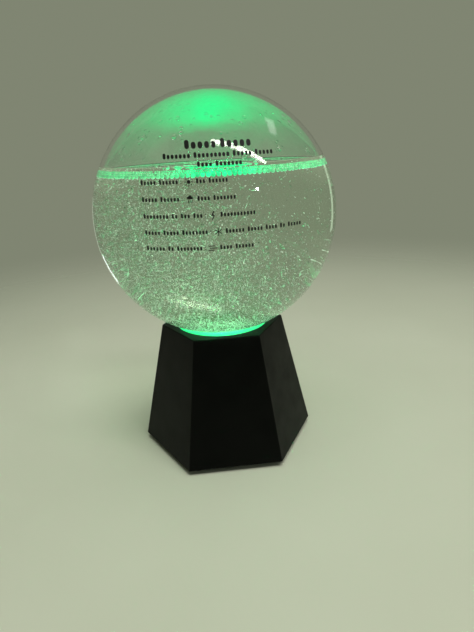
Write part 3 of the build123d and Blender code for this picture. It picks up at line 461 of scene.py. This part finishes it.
def paint_bands(piece, bands):
    """Sets the material of each ring of a lathed piece. bands holds how many rings each material takes."""
    indices = [index for index, rings in bands for _ in range(rings * SEGMENTS)]
    piece.data.polygons.foreach_set("material_index", indices)


def make_globe():
    """The blown glass shell: outside, rim of the filling hole, wetted inside and dry inside."""
    hole_outer_z = -math.sqrt(GLOBE_RADIUS**2 - FILL_HOLE_RADIUS**2)
    hole_inner_z = -math.sqrt(INNER_RADIUS**2 - FILL_HOLE_RADIUS**2)
    wet_top_z = LEVEL_Z + MENISCUS_HEIGHT
    outside = arc_points(GLOBE_RADIUS, GLOBE_RADIUS, hole_outer_z, OUTSIDE_STEPS)
    wetted = arc_points(INNER_RADIUS, hole_inner_z, wet_top_z, WETTED_STEPS)
    dry = arc_points(INNER_RADIUS, wet_top_z, INNER_RADIUS, DRY_STEPS)
    globe = lathe("storm_globe", outside + wetted + dry[1:])
    paint_bands(globe, [(0, len(outside)), (1, len(wetted) - 1), (0, len(dry) - 1)])
    globe.data.materials.append(
        clear_material("clear_glass", (0.992, 1.0, 0.992), GLASS_IOR, (0.97, 0.985, 0.97), GLASS_RIPPLE)
    )
    globe.data.materials.append(
        clear_material("wetted_glass", (1.0, 1.0, 1.0), GLASS_IOR / LIQUID_IOR, (1.0, 1.0, 1.0))
    )
    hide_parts("glass_globe")
    set_down(globe)


def liquid_top(radius, wall_radius):
    """Height of the liquid's surface at this distance from the axis, with its rise at the glass."""
    return LEVEL_Z + MENISCUS_HEIGHT * math.exp(-(wall_radius - radius) / MENISCUS_REACH)


def make_solution():
    """The liquid: its wall lies on the glass and its surface climbs a little where it meets it."""
    radius = INNER_RADIUS - WALL_GAP
    wet_top_z = LEVEL_Z + MENISCUS_HEIGHT
    edge = math.sqrt(radius**2 - wet_top_z**2)
    floor_z = STOPPER_TOP_Z + WALL_GAP
    low_z = -math.sqrt(radius**2 - FILL_HOLE_RADIUS**2)
    wall = [(0, floor_z), (FILL_HOLE_RADIUS, floor_z)]
    wall += arc_points(radius, low_z, wet_top_z, WETTED_STEPS)
    shares = [1 - (i / SURFACE_STEPS) ** 1.7 for i in range(1, SURFACE_STEPS + 1)]  # close near the glass
    surface = [(edge * s, liquid_top(edge * s, edge)) for s in shares]
    solution = lathe("storm_solution", wall + surface)
    paint_bands(solution, [(0, len(wall) - 1), (1, len(surface))])
    solution.data.materials.append(
        clear_material("storm_liquid", (0.868, 0.992, 0.865), 1.0, (0.95, 0.99, 0.95))
    )
    solution.data.materials.append(
        clear_material("liquid_surface", (1.0, 1.0, 1.0), LIQUID_IOR, (0.98, 1.0, 0.98))
    )
    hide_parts("solution")
    set_down(solution)


# ---------------------------------------------------------------- crystals

NEEDLE = np.array([(0, 0, -1), (1, 0, 0), (0, 1, 0), (-1, 0, 0), (0, -1, 0), (0, 0, 1)], float)
NEEDLE_FACES = [(0, 2, 1), (0, 3, 2), (0, 4, 3), (0, 1, 4), (5, 1, 2), (5, 2, 3), (5, 3, 4), (5, 4, 1)]
SIDES = [math.radians(60 * i) for i in range(6)]
FLAKE = np.array([(math.cos(a), math.sin(a), side) for side in (-1, 1) for a in SIDES], float)
FLAKE_FACES = [tuple(range(5, -1, -1)), tuple(range(6, 12))] + [
    (i, (i + 1) % 6, 6 + (i + 1) % 6, 6 + i) for i in range(6)
]

# how many needles there are of each kind, with their lengths and their widths
FINE_NEEDLES = (19000, (0.4 * MM, 1.4 * MM), (0.1 * MM, 0.24 * MM))
LONG_NEEDLES = (110, (1.8 * MM, 3.6 * MM), (0.12 * MM, 0.26 * MM))
BED_NEEDLES = (11000, (0.4 * MM, 1.4 * MM), (0.1 * MM, 0.3 * MM))
NEEDLE_FLATNESS = 0.6
FLAKE_COUNT = 8000
FLAKE_WIDTHS = (0.25 * MM, 0.8 * MM)
FLAKE_THICKNESS = 0.05 * MM
FLAKE_MARGIN = 0.6 * MM
FLAKE_NARROWNESS = 0.7
TRIES = 4  # places tried at a time, for each place wanted


def crystal_share(places):
    """How thick the crystals lie at each place, from 0 to 1: thickest low down and to the left."""
    x, y, z = (places / GLOBE_RADIUS).T
    lean = -(0.62 * x + 0.78 * z)
    share = np.clip((lean + 0.3) / 0.95, 0, 1) ** 1.25
    swirl = 0.75 + 0.25 * np.sin(9 * x + 5 * z + 2.0) * np.sin(8 * y - 6 * z + 1.0)
    return 0.025 + 0.975 * share * swirl


def places_in_liquid(rng, count, margin, share_of=crystal_share, top_z=None):
    """Seeded places inside the liquid, kept or left out by a share for each place."""
    limit = INNER_RADIUS - margin
    top = (LEVEL_Z if top_z is None else top_z) - margin
    found = np.empty((0, 3))
    while len(found) < count:
        tried = rng.uniform(-limit, limit, size=(TRIES * count, 3))
        inside = (np.linalg.norm(tried, axis=1) < limit) & (tried[:, 2] < top)
        beside_stopper = np.hypot(tried[:, 0], tried[:, 1]) > FILL_HOLE_RADIUS + margin
        inside &= (tried[:, 2] > STOPPER_TOP_Z + margin) | beside_stopper
        tried = tried[inside]
        tried = tried[rng.uniform(size=len(tried)) < share_of(tried)]
        found = np.vstack([found, tried])
    return found[:count]


def crystal_material(name, first, second, glow):
    """Camphor crystals: milky and glassy, with a painted green glow for the light from below, some brighter
    than others.
    """
    material, tree, shader = new_material(
        name, Roughness=0.28, IOR=1.25, Transmission_Weight=0.25, Emission_Color=(0.24, 0.72, 0.4)
    )
    material.cycles.emission_sampling = "NONE"
    own = node(tree, "ShaderNodeNewGeometry").outputs["Random Per Island"]
    cloudy = spread(tree, noise(tree, 1.4 * MM, 3.0), -0.25, 0.25)
    mixed = node(tree, "ShaderNodeMath", [(0, own), (1, cloudy)], operation="ADD").outputs[0]
    shade = spread(tree, mixed, 0.0, 1.0, 0.1, 0.9)
    tree.links.new(blend_colours(tree, shade, first, second), shader.inputs["Base Color"])
    # painted glow: emission strength, varying at random from crystal to crystal
    tree.links.new(spread(tree, mixed, 2 * glow, 0.0, 0.0, 1.0), shader.inputs["Emission Strength"])
    return material


def make_crystals():
    """Loose needles and flakes hanging in the liquid, a few long ones, and a settled bed."""
    rng = np.random.default_rng(SEED)
    milky = crystal_material("camphor_crystal", (0.96, 1.0, 0.94), (0.24, 0.36, 0.25), 0.03)
    # the long needles and the settled bed get a stronger painted glow; on the bed it stands in for the
    # seat's light near the bottom
    bright = crystal_material("settled_camphor", (1.0, 1.0, 0.98), (0.6, 0.78, 0.62), 0.5)

    def needles(name, count, lengths, widths, share_of=crystal_share, top_z=None):
        """One kind of needle, strewn through the liquid."""
        long = rng.uniform(*lengths, size=count)
        wide = rng.uniform(*widths, size=count)
        places = places_in_liquid(rng, count, lengths[1] / 2, share_of, top_z)
        sizes = np.stack([wide, wide * NEEDLE_FLATNESS, long], axis=1) / 2
        return many(name, NEEDLE, NEEDLE_FACES, places, random_turns(rng, count), sizes)

    fine = needles("floating_needles", *FINE_NEEDLES)
    long_ones = needles("long_needles", *LONG_NEEDLES)
    across = rng.uniform(*FLAKE_WIDTHS, size=FLAKE_COUNT)
    places = places_in_liquid(rng, FLAKE_COUNT, FLAKE_MARGIN)
    thick = np.full(FLAKE_COUNT, FLAKE_THICKNESS)
    sizes = np.stack([across, across * FLAKE_NARROWNESS, thick], axis=1) / 2
    flakes = many("floating_flakes", FLAKE, FLAKE_FACES, places, random_turns(rng, FLAKE_COUNT), sizes)

    def bed_share(places):
        """How thick the bed lies at each place: thicker the deeper."""
        depth = (BED_TOP_Z - places[:, 2]) / (BED_TOP_Z + INNER_RADIUS)
        return np.clip(depth, 0, 1) ** 1.1

    bed = needles("settled_crystals", *BED_NEEDLES, bed_share, BED_TOP_Z)
    for piece, material in ((fine, milky), (long_ones, bright), (flakes, milky), (bed, bright)):
        piece.data.materials.append(material)
        set_down(piece)
    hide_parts("crystal_bed")


# ---------------------------------------------------------------- foam ring, mist and droplets


def ball_template():
    """A small round ball's points and faces."""
    work = bmesh.new()
    bmesh.ops.create_icosphere(work, subdivisions=2, radius=1.0)
    points = np.array([v.co[:] for v in work.verts])
    faces = [tuple(v.index for v in f.verts) for f in work.faces]
    work.free()
    return points, faces


BALL, BALL_FACES = ball_template()
FOAM_ROWS = (  # height above the level, bubble radius, spacing in radii, share kept
    (-0.55 * MM, 0.38 * MM, 2.0, 0.98),
    (-1.2 * MM, 0.44 * MM, 2.0, 1.0),
    (-2.05 * MM, 0.82 * MM, 2.1, 1.0),
)
BUBBLE_SIZES = (0.88, 1.1)  # of the row's radius
BUBBLE_DRIFT = 0.1  # along the row, in spacings
BUBBLE_RISE = 0.07 * MM
FOAM_CORE = 22 * MM  # reach of the brightest green, at the front of the ring
FOAM_CORE_X = -0.5 * MM
FLOATING_COUNT = 300  # bubbles that drift on the surface just behind it
FLOATING_RADII = (0.3, 0.75)  # in millimetres
FLOATING_MIDDLE_X = -1.5 * MM
FLOATING_SPREAD_X = 6.5 * MM
FLOATING_GAP = 2 * MM  # between the glass and the nearest of them
FLOATING_DEPTH = 13 * MM
FOAM_TOP = (0.01, 0.12, 0.045)  # the light in a bubble's upper side
FOAM_UNDER = (0.42, 1.0, 0.66)  # and in its lower side
FOAM_HEART = (0.012, 0.93, 0.33)


def make_foam():
    """The ring of bubbles that clings to the glass at the liquid's surface."""
    rng = np.random.default_rng(SEED + 1)
    places, radii = [], []
    for row, (height, radius, spacing, kept) in enumerate(FOAM_ROWS):
        z = LEVEL_Z + height
        ring = math.sqrt(INNER_RADIUS**2 - z**2)
        count = int(2 * math.pi * ring / (radius * spacing))
        for i in range(count):
            if rng.uniform() > kept:
                continue
            own = radius * rng.uniform(*BUBBLE_SIZES)
            angle = 2 * math.pi * (i + row / 2 + rng.uniform(-BUBBLE_DRIFT, BUBBLE_DRIFT)) / count
            reach = INNER_RADIUS - own - 2 * WALL_GAP
            own_z = z + rng.uniform(-BUBBLE_RISE, BUBBLE_RISE)
            flat = math.sqrt(reach**2 - own_z**2)
            places.append((flat * math.cos(angle), flat * math.sin(angle), own_z))
            radii.append(own)
    for _ in range(FLOATING_COUNT):
        own = rng.uniform(*FLOATING_RADII) * MM
        x = rng.normal(FLOATING_MIDDLE_X, FLOATING_SPREAD_X)
        front_y = -math.sqrt((INNER_RADIUS - FLOATING_GAP) ** 2 - LEVEL_Z**2 - x**2)
        y = front_y + rng.uniform(0, 1) ** 1.6 * FLOATING_DEPTH
        places.append((x, y, LEVEL_Z + own * rng.uniform(0.1, 0.6)))
        radii.append(own)
    places, radii = np.array(places), np.array(radii)
    sizes = np.repeat(radii[:, None], 3, axis=1)
    foam = many("foam_ring", BALL, BALL_FACES, places, random_turns(rng, len(places)), sizes, smooth=True)
    foam.data.materials.append(foam_material())
    set_down(foam)


def foam_material():
    """Wet bubbles with green light in them: dark on top, bright below, and brightest at the front."""
    material, tree, shader = new_material("foam_bubbles", Roughness=0.12, Specular_IOR_Level=0.9)
    material.cycles.emission_sampling = "NONE"
    shade = spread(tree, noise(tree, 1.1 * MM, 3.0), 0.0, 1.0)
    bare = blend_colours(tree, shade, (0.36, 0.72, 0.45), (0.12, 0.5, 0.24))
    patches = spread(tree, noise(tree, 2.2 * MM, 3.0), 0.0, 1.0, 0.35, 0.65)
    lit = blend_colours(tree, patches, (0.04, 0.36, 0.14), (0.1, 0.58, 0.26))
    near_front = node(
        tree,
        "ShaderNodeVectorMath",
        [(0, object_place(tree))],
        operation="DISTANCE",
        inputs={1: (FOAM_CORE_X, -INNER_RADIUS, CENTRE_Z + LEVEL_Z)},
    ).outputs["Value"]
    core = spread(tree, near_front, 1.0, 0.0, FOAM_CORE / 3, FOAM_CORE)
    tree.links.new(blend_colours(tree, core, bare, (0.03, 0.42, 0.2)), shader.inputs["Base Color"])
    normal = node(tree, "ShaderNodeNewGeometry").outputs["Normal"]
    upward = node(tree, "ShaderNodeSeparateXYZ", [("Vector", normal)]).outputs["Z"]
    lit = blend_colours(tree, spread(tree, upward, 0.0, 1.0, -0.2, 0.7), lit, FOAM_TOP)
    lit = blend_colours(tree, spread(tree, upward, 0.8, 0.0, -0.85, -0.3), lit, FOAM_UNDER)
    heart = spread(tree, near_front, 0.9, 0.0, FOAM_CORE / 3, FOAM_CORE)
    lit = blend_colours(tree, heart, lit, FOAM_HEART)
    own = node(tree, "ShaderNodeNewGeometry").outputs["Random Per Island"]
    tree.links.new(spread(tree, own, 0.5, 1.35, 0.0, 1.0), shader.inputs["Emission Strength"])
    tree.links.new(lit, shader.inputs["Emission Color"])
    return material


MIST_EDGE_Z = 37.4 * MM  # the thick cap of mist, where its painted green glow is strong, ends at this height above the globe's centre
MIST_EDGE_BELOW = 4 * MM  # the cap's edge fades from this far below that height
MIST_EDGE_ABOVE = 2 * MM  # to this far above it
MIST_GLOW_PATCH_Y = 25 * MM  # its two thickest patches, where the painted green glow is brightest, lie this far from the axis, front and back
MIST_CLEARANCE = 1.5 * MM  # from the liquid's surface to the lowest mist
MIST_FADE = 4 * MM  # from the liquid's surface to where the thin mist starts to thicken
MIST_WIDE = (0.33, 0.07, 3 * MM, 22 * MM)  # share at a patch's middle and edge, and where each lies
MIST_TIGHT = (0.24, 0.0, 1 * MM, 8 * MM)  # what is added in the patch's middle
MIST_WOBBLE = 0.8 * MM  # of the cap's edge, up and down
MIST_STEPS = 60
MIST_LIGHT = (0.012, 0.93, 0.26, 1.0)


def make_mist():
    """Fine condensation inside the dome, drawn with a painted green glow for the light from below, thickest
    and brightest in a cap round the top.
    """
    outer = INNER_RADIUS - WALL_GAP / 4
    inner = INNER_RADIUS - WALL_GAP * 3 / 4
    low_z = LEVEL_Z + MIST_CLEARANCE
    under = arc_points(inner, inner, low_z, MIST_STEPS)
    over = arc_points(outer, low_z, outer, MIST_STEPS)
    mist = lathe("dome_mist", [(0, inner)] + under[1:] + over[:-1] + [(0, outer)])
    mist.data.materials.append(mist_material())
    set_down(mist)


def mist_material():
    """Clear where the mist is thin, and a painted green glow where it is thick."""
    material, tree, shader = new_material("mist")
    tree.nodes.remove(shader)
    place = object_place(tree)
    flat = node(tree, "ShaderNodeVectorMath", [(0, place)], operation="MULTIPLY", inputs={1: (1, 1, 0)})
    folded = node(tree, "ShaderNodeVectorMath", [(0, flat.outputs[0])], operation="ABSOLUTE").outputs[0]
    reach = node(
        tree,
        "ShaderNodeVectorMath",
        [(0, folded)],
        operation="DISTANCE",
        inputs={1: (0, MIST_GLOW_PATCH_Y, 0)},
    ).outputs["Value"]
    height = node(tree, "ShaderNodeSeparateXYZ", [("Vector", place)]).outputs["Z"]
    wobble = spread(tree, noise(tree, 7 * MM, 2.0), -MIST_WOBBLE, MIST_WOBBLE)
    uneven = node(tree, "ShaderNodeMath", [(0, height), (1, wobble)], operation="ADD").outputs[0]
    edge_z = CENTRE_Z + MIST_EDGE_Z
    in_cap = spread(tree, uneven, 0.0, 1.0, edge_z - MIST_EDGE_BELOW, edge_z + MIST_EDGE_ABOVE)
    wide = spread(tree, reach, *MIST_WIDE)
    tight = spread(tree, reach, *MIST_TIGHT)
    core = node(tree, "ShaderNodeMath", [(0, wide), (1, tight)], operation="ADD").outputs[0]
    cap = node(tree, "ShaderNodeMath", [(0, in_cap), (1, core)], operation="MULTIPLY").outputs[0]
    clouds = spread(tree, noise(tree, 13 * MM, 4.0), 0.03, 0.08)
    fade = spread(tree, height, 0.35, 1.0, CENTRE_Z + LEVEL_Z + MIST_FADE, edge_z)
    clouds = node(tree, "ShaderNodeMath", [(0, clouds), (1, fade)], operation="MULTIPLY").outputs[0]
    beads = spread(tree, noise(tree, 0.7 * MM, 3.0), 0.8, 1.2)
    both = node(tree, "ShaderNodeMath", [(0, cap), (1, clouds)], operation="ADD").outputs[0]
    share = node(tree, "ShaderNodeMath", [(0, both), (1, beads)], operation="MULTIPLY").outputs[0]
    clear = node(tree, "ShaderNodeBsdfTransparent")
    # painted light: an emission that stands in for the base's green light falling on the mist
    lit = node(tree, "ShaderNodeEmission", inputs={"Color": MIST_LIGHT, "Strength": 1.25})
    mix = node(tree, "ShaderNodeMixShader", [(0, share), (1, clear.outputs[0]), (2, lit.outputs[0])])
    output = next(n for n in tree.nodes if n.type == "OUTPUT_MATERIAL")
    tree.links.new(mix.outputs[0], output.inputs["Surface"])
    material.cycles.emission_sampling = "NONE"
    return material


DROP_COUNT = 170
DROP_CLEARANCE = 3 * MM  # from the liquid's surface to the lowest drop
DROP_SMALLEST = 0.12 * MM
DROP_RANGE = 0.95 * MM  # from the smallest radius to the largest
DROP_HEIGHT = 0.35  # of the drop's radius


def make_droplets():
    """Condensed drops on the dry inside of the dome."""
    rng = np.random.default_rng(SEED + 2)
    low = (LEVEL_Z + DROP_CLEARANCE) / INNER_RADIUS
    heights = rng.uniform(low, 0.99, size=DROP_COUNT)
    angles = rng.uniform(0, 2 * math.pi, size=DROP_COUNT)
    flat = np.sqrt(1 - heights**2)
    out = np.stack([flat * np.cos(angles), flat * np.sin(angles), heights], axis=1)
    radii = rng.uniform(0.2, 1.0, size=DROP_COUNT) ** 1.6 * DROP_RANGE + DROP_SMALLEST
    side = np.stack([-np.sin(angles), np.cos(angles), np.zeros(DROP_COUNT)], axis=1)
    down = np.cross(out, side)
    turns = np.stack([side, down, out], axis=2)
    thick = radii * DROP_HEIGHT
    places = out * (INNER_RADIUS - WALL_GAP - thick)[:, None]
    long = radii * rng.uniform(0.9, 1.5, size=DROP_COUNT)
    sizes = np.stack([radii, long, thick], axis=1)
    drops = many("condensed_drops", BALL, BALL_FACES, places, turns, sizes, smooth=True)
    water = clear_material("drop_water", (0.97, 1.0, 0.97), WATER_IOR, (0.95, 1.0, 0.95))
    drops.data.materials.append(water)
    set_down(drops)


# ---------------------------------------------------------------- printed weather key

INK_LIFT = 0.03 * MM
INK_THICKNESS = 0.05 * MM
ROUND_STEPS = 6
HEADING_ROWS = (  # height above the globe's centre, mark height, pitch of the marks, marks in each group
    (28.0 * MM, 2.9 * MM, 2.16 * MM, (5, 5)),
    (24.8 * MM, 1.8 * MM, 1.32 * MM, (7, 9, 5, 5)),
    (22.0 * MM, 1.7 * MM, 1.28 * MM, (4, 7)),
)
KEY_LEFT_X = -26.4 * MM
KEY_TOP_Z = 17.0 * MM
KEY_PITCH = 5.3 * MM
KEY_HEIGHT = 1.6 * MM
KEY_MARK = 1.08 * MM
MARK_BASE = 0.37  # of the row's height, from its middle down to its base
HEADING_BOLDNESS = 0.68  # width of a mark over the pitch
KEY_BOLDNESS = 0.6
LATER_MARK_HEIGHT = 0.76  # of the height of the first mark in a group
GROUP_GAP = 0.8 * MM
SIGN_SIZE = 2.8 * MM
COLON_DOT = 0.3 * MM
KEY_ROWS = (  # marks in each group before the row's sign, and after it
    ((5, 6), (3, 6)),
    ((5, 6), (4, 7)),
    ((8, 2, 3, 3), (11,)),
    ((5, 5, 8), (6, 5, 4, 2, 5)),
    ((6, 2, 8), (4, 6)),
)


def stroke(start, end, width):
    """Outline of a straight stroke with round ends, or of a dot where the two ends are one point."""
    along = math.atan2(end[1] - start[1], end[0] - start[0])
    points = []
    for centre, first in ((end, along - math.pi / 2), (start, along + math.pi / 2)):
        for i in range(ROUND_STEPS):
            angle = first + math.pi * i / (ROUND_STEPS - (start != end))
            x = centre[0] + width / 2 * math.cos(angle)
            z = centre[1] + width / 2 * math.sin(angle)
            points.append((x, z))
    return points


def spoke(angle, inner, outer, width):
    """A stroke that points away from a sign's middle."""
    x, z = math.cos(math.radians(angle)), math.sin(math.radians(angle))
    return stroke((x * inner, z * inner), (x * outer, z * outer), width)


def sign_strokes():
    """The five signs, sun, rain, lightning, snow and wind, each 2 units across and round (0, 0)."""
    sun = [stroke((0, 0), (0, 0), 0.85)] + [spoke(45 * i, 0.65, 0.92, 0.16) for i in range(8)]
    puffs = ((-0.4, 0.3, 0.6), (0.02, 0.48, 0.8), (0.44, 0.28, 0.55))
    rain = [stroke((x, z), (x, z), width) for x, z, width in puffs]
    rain.append(stroke((-0.45, 0.14), (0.45, 0.14), 0.3))
    rain += [stroke((x, -0.3), (x - 0.1, -0.75), 0.17) for x in (-0.35, 0.05, 0.45)]
    bolt_corners = ((0.22, 0.92), (-0.3, 0.0), (0.26, 0.08), (-0.2, -0.92))
    bolt = [stroke(bolt_corners[i], bolt_corners[i + 1], 0.24) for i in range(3)]
    snow = [spoke(angle, -0.9, 0.9, 0.17) for angle in (30, 90, 150)]
    gusts = ((-0.9, 0.5, 0.5), (-0.6, 0.95, 0), (-0.9, 0.3, -0.5))
    wind = [stroke((left, z), (right, z), 0.2) for left, right, z in gusts]
    return sun, rain, bolt, snow, wind


def marks(rng, left, base_z, height, pitch, groups, boldness):
    """Plain round-ended marks in groups, the first of each group taller, and where the row ends."""
    found = []
    x = left
    for count in groups:
        for i in range(count):
            tall = height * (LATER_MARK_HEIGHT if i else 1.0)
            width = pitch * boldness * rng.uniform(0.92, 1.06)
            middle = x + (i + 0.5) * pitch
            found.append(stroke((middle, base_z + width / 2), (middle, base_z + tall - width / 2), width))
        x += count * pitch + GROUP_GAP
    return found, x


def make_print():
    """The wordless weather key on the front of the globe: rows of plain marks, with a sign in each row."""
    rng = np.random.default_rng(SEED + 3)
    outlines = []
    for row_z, height, pitch, groups in HEADING_ROWS:
        length = sum(groups) * pitch + (len(groups) - 1) * GROUP_GAP
        base_z = row_z - height * MARK_BASE
        outlines += marks(rng, -length / 2, base_z, height, pitch, groups, HEADING_BOLDNESS)[0]
    for row, (sign, (before, after)) in enumerate(zip(sign_strokes(), KEY_ROWS)):
        row_z = KEY_TOP_Z - row * KEY_PITCH
        base_z = row_z - KEY_HEIGHT * MARK_BASE
        found, x = marks(rng, KEY_LEFT_X, base_z, KEY_HEIGHT, KEY_MARK, before, KEY_BOLDNESS)
        outlines += found
        for dot_z in (row_z - KEY_HEIGHT / 4, row_z + KEY_HEIGHT / 4):
            outlines.append(stroke((x, dot_z), (x, dot_z), COLON_DOT))
        half = SIGN_SIZE / 2
        x += COLON_DOT + GROUP_GAP + half
        outlines += [[(x + half * a, row_z + half * b) for a, b in outline] for outline in sign]
        x += half + GROUP_GAP
        outlines += marks(rng, x, base_z, KEY_HEIGHT, KEY_MARK, after, KEY_BOLDNESS)[0]

    vertices, faces = [], []
    for outline in outlines:
        first, count = len(vertices), len(outline)
        for radius in (GLOBE_RADIUS + INK_LIFT, GLOBE_RADIUS + INK_LIFT + INK_THICKNESS):
            vertices += [(x, -math.sqrt(radius**2 - x**2 - z**2), z) for x, z in outline]
        faces.append(tuple(range(first, first + count)))
        faces.append(tuple(range(first + 2 * count - 1, first + count - 1, -1)))
        for i in range(count):
            after = (i + 1) % count
            faces.append((first + i, first + after, first + count + after, first + count + i))
    key = add_piece("weather_key", vertices, faces, smooth=False)
    material, tree, shader = new_material("black_ink", Specular_IOR_Level=0.3)
    coat = spread(tree, noise(tree, 0.5 * MM, 4.0), 0.0, 1.0)
    colour = blend_colours(tree, coat, (0.002, 0.002, 0.002), (0.008, 0.009, 0.008))
    tree.links.new(colour, shader.inputs["Base Color"])
    tree.links.new(spread(tree, noise(tree, 0.3 * MM), 0.45, 0.7), shader.inputs["Roughness"])
    key.data.materials.append(material)
    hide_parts("weather_print")
    set_down(key)


# ---------------------------------------------------------------- stage, lamps and camera

FLOOR_RADIUS = 4.0
FLOOR_CLOUDS = 0.12  # size of the faint clouds in its colour
FLOOR_FADE = (0.13, 0.55)  # from the axis: where it starts to fade out, and where it is gone


def make_floor():
    """A plain pale floor that fades into the backdrop colour far away."""
    mesh = bpy.data.meshes.new("floor")
    work = bmesh.new()
    bmesh.ops.create_circle(work, cap_ends=True, segments=96, radius=FLOOR_RADIUS)
    work.to_mesh(mesh)
    work.free()
    floor = bpy.data.objects.new("floor", mesh)
    bpy.context.scene.collection.objects.link(floor)
    material, tree, shader = new_material("pale_table", Roughness=0.5, Specular_IOR_Level=0.3)
    shade = spread(tree, noise(tree, FLOOR_CLOUDS, 3.0), 0.0, 1.0)
    colour = blend_colours(tree, shade, (0.6, 0.645, 0.515), (0.64, 0.685, 0.555))
    tree.links.new(colour, shader.inputs["Base Color"])
    distance = node(tree, "ShaderNodeVectorMath", [(0, object_place(tree))], operation="LENGTH")
    far = node(
        tree,
        "ShaderNodeMapRange",
        [("Value", distance.outputs["Value"])],
        interpolation_type="SMOOTHSTEP",
        inputs={"From Min": FLOOR_FADE[0], "From Max": FLOOR_FADE[1]},
    ).outputs["Result"]
    clear = node(tree, "ShaderNodeBsdfTransparent")
    output = next(n for n in tree.nodes if n.type == "OUTPUT_MATERIAL")
    mix = node(tree, "ShaderNodeMixShader", [(0, far), (1, shader.outputs[0]), (2, clear.outputs[0])])
    tree.links.new(mix.outputs[0], output.inputs["Surface"])
    floor.data.materials.append(material)


BACKDROP = (0.215, 0.235, 0.168)
MATT_SHARE = 0.5  # how much of the backdrop's light reaches matt surfaces


def make_world():
    """Even, dim light from all round."""
    world = bpy.data.worlds.new("studio")
    world.use_nodes = True
    background = next(n for n in world.node_tree.nodes if n.type == "BACKGROUND")
    background.inputs["Color"].default_value = (*BACKDROP, 1.0)
    tree = world.node_tree
    matt = node(tree, "ShaderNodeLightPath").outputs["Is Diffuse Ray"]
    tree.links.new(spread(tree, matt, 1.0, MATT_SHARE, 0.0, 1.0), background.inputs["Strength"])
    bpy.context.scene.world = world


GLOBE_CENTRE = Vector((0, 0, CENTRE_Z))
SEAT_MIDDLE = Vector((0, 0, BODY_TOP_Z - 3.5 * MM))
TABLE_MIDDLE = Vector((0, 0, 0))
TUBE_HEIGHT = 0.95
TUBE_ENDS = (Vector((-0.02, -0.37, 1.0)) * TUBE_HEIGHT, Vector((1.0, -0.62, 1.0)) * TUBE_HEIGHT)
TUBE_WIDTH = 0.08
TUBE_POWER = 5.0
TUBE_COLOUR = (1.0, 0.96, 0.9)


def from_globe(x, y, z):
    """A place given in millimetres from the globe's centre."""
    return GLOBE_CENTRE + Vector((x, y, z)) * MM


LAMPS = {  # place, target, length, depth (None for a round lamp), power, colour, kinds of ray that miss it
    "spark": (from_globe(546, -735, 402), GLOBE_CENTRE, 50 * MM, None, 0.4, (1.0, 1.0, 1.0), ""),
    "side_panel": (
        from_globe(660, 270, 840), GLOBE_CENTRE, 300 * MM, 100 * MM, 0.12, (1.0, 1.0, 0.95), ""
    ),
    "overhead": (
        Vector((0.1, -0.3, 1.7)), TABLE_MIDDLE, 1.5, None, 14.0, (1.0, 0.99, 0.945), "glossy transmission"
    ),
    "low_strip": (
        from_globe(-117, 187, -47), GLOBE_CENTRE, 18 * MM, 100 * MM, 0.0032, (0.86, 1.0, 0.8), "diffuse"
    ),
    "rim_strip": (
        from_globe(-104, 111, -62), GLOBE_CENTRE, 15 * MM, 32 * MM, 0.003, (0.94, 1.0, 1.0),
        "diffuse transmission",
    ),
    "seat_light": (SEAT_MIDDLE, GLOBE_CENTRE, 28 * MM, None, 0.11, (0.03, 1.0, 0.34), ""),
    "glint": (
        from_globe(-14, -37.5, -25.5), GLOBE_CENTRE, 17 * MM, 3.5 * MM, 0.0022, (1.0, 0.93, 0.76),
        "glossy transmission",
    ),
}


def add_area(name, place, target, length, depth, power, colour, missed_by=""):
    """A flat lamp at a place, facing a target. Its length lies along X."""
    lamp = bpy.data.lights.new(name, "AREA")
    lamp.shape = "RECTANGLE" if depth else "DISK"
    lamp.size = length
    if depth:
        lamp.size_y = depth
    lamp.energy = power
    lamp.color = colour
    holder = bpy.data.objects.new(name, lamp)
    holder.visible_camera = False
    for kind in missed_by.split():
        setattr(holder, "visible_" + kind, False)
    bpy.context.scene.collection.objects.link(holder)
    holder.location = place
    holder.rotation_euler = (target - place).to_track_quat("-Z", "Y").to_euler()
    return holder


def make_lamps():
    """The ceiling tube, soft light from above, the seat's green light and small lamps for highlights."""
    first, last = TUBE_ENDS
    middle = (first + last) / 2 + GLOBE_CENTRE
    along = last - first
    tube = add_area(
        "ceiling_tube", middle, GLOBE_CENTRE, along.length, TUBE_WIDTH, TUBE_POWER, TUBE_COLOUR
    )
    across = (GLOBE_CENTRE - middle).cross(along).normalized()
    facing = along.normalized().cross(across)
    axes = Matrix((along.normalized(), -across, -facing)).transposed()
    tube.rotation_euler = axes.to_euler()
    lamps = {name: add_area(name, *settings) for name, settings in LAMPS.items()}
    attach(lamps["glint"], "globe")


CAMERA_PLACE = Vector((-11.12, -208.73, 131.41)) * MM
CAMERA_HEADING = (0.0853, 0.9964)
CAMERA_PITCH = 19.298  # degrees below level
CAMERA_ROLL = -3.101
CAMERA_LENS = 27.79
CAMERA_NEAR = 10 * MM


def make_camera():
    """The camera, a little above the liquid's surface and looking down at the base."""
    data = bpy.data.cameras.new("camera")
    data.lens = CAMERA_LENS
    data.clip_start = CAMERA_NEAR
    camera = bpy.data.objects.new("camera", data)
    bpy.context.scene.collection.objects.link(camera)
    camera.location = CAMERA_PLACE
    pitch = math.radians(CAMERA_PITCH)
    look = Vector(
        (CAMERA_HEADING[0] * math.cos(pitch), CAMERA_HEADING[1] * math.cos(pitch), -math.sin(pitch))
    )
    camera.rotation_mode = "QUATERNION"
    level = look.to_track_quat("-Z", "Y")
    camera.rotation_quaternion = level @ Quaternion((0, 0, 1), math.radians(CAMERA_ROLL))
    bpy.context.scene.camera = camera


bpy.context.scene.view_settings.view_transform = "Standard"
make_camera()
make_world()
make_floor()
make_lamps()
dress_base()
make_globe()
make_solution()
make_crystals()
make_foam()
make_mist()
make_droplets()
make_print()
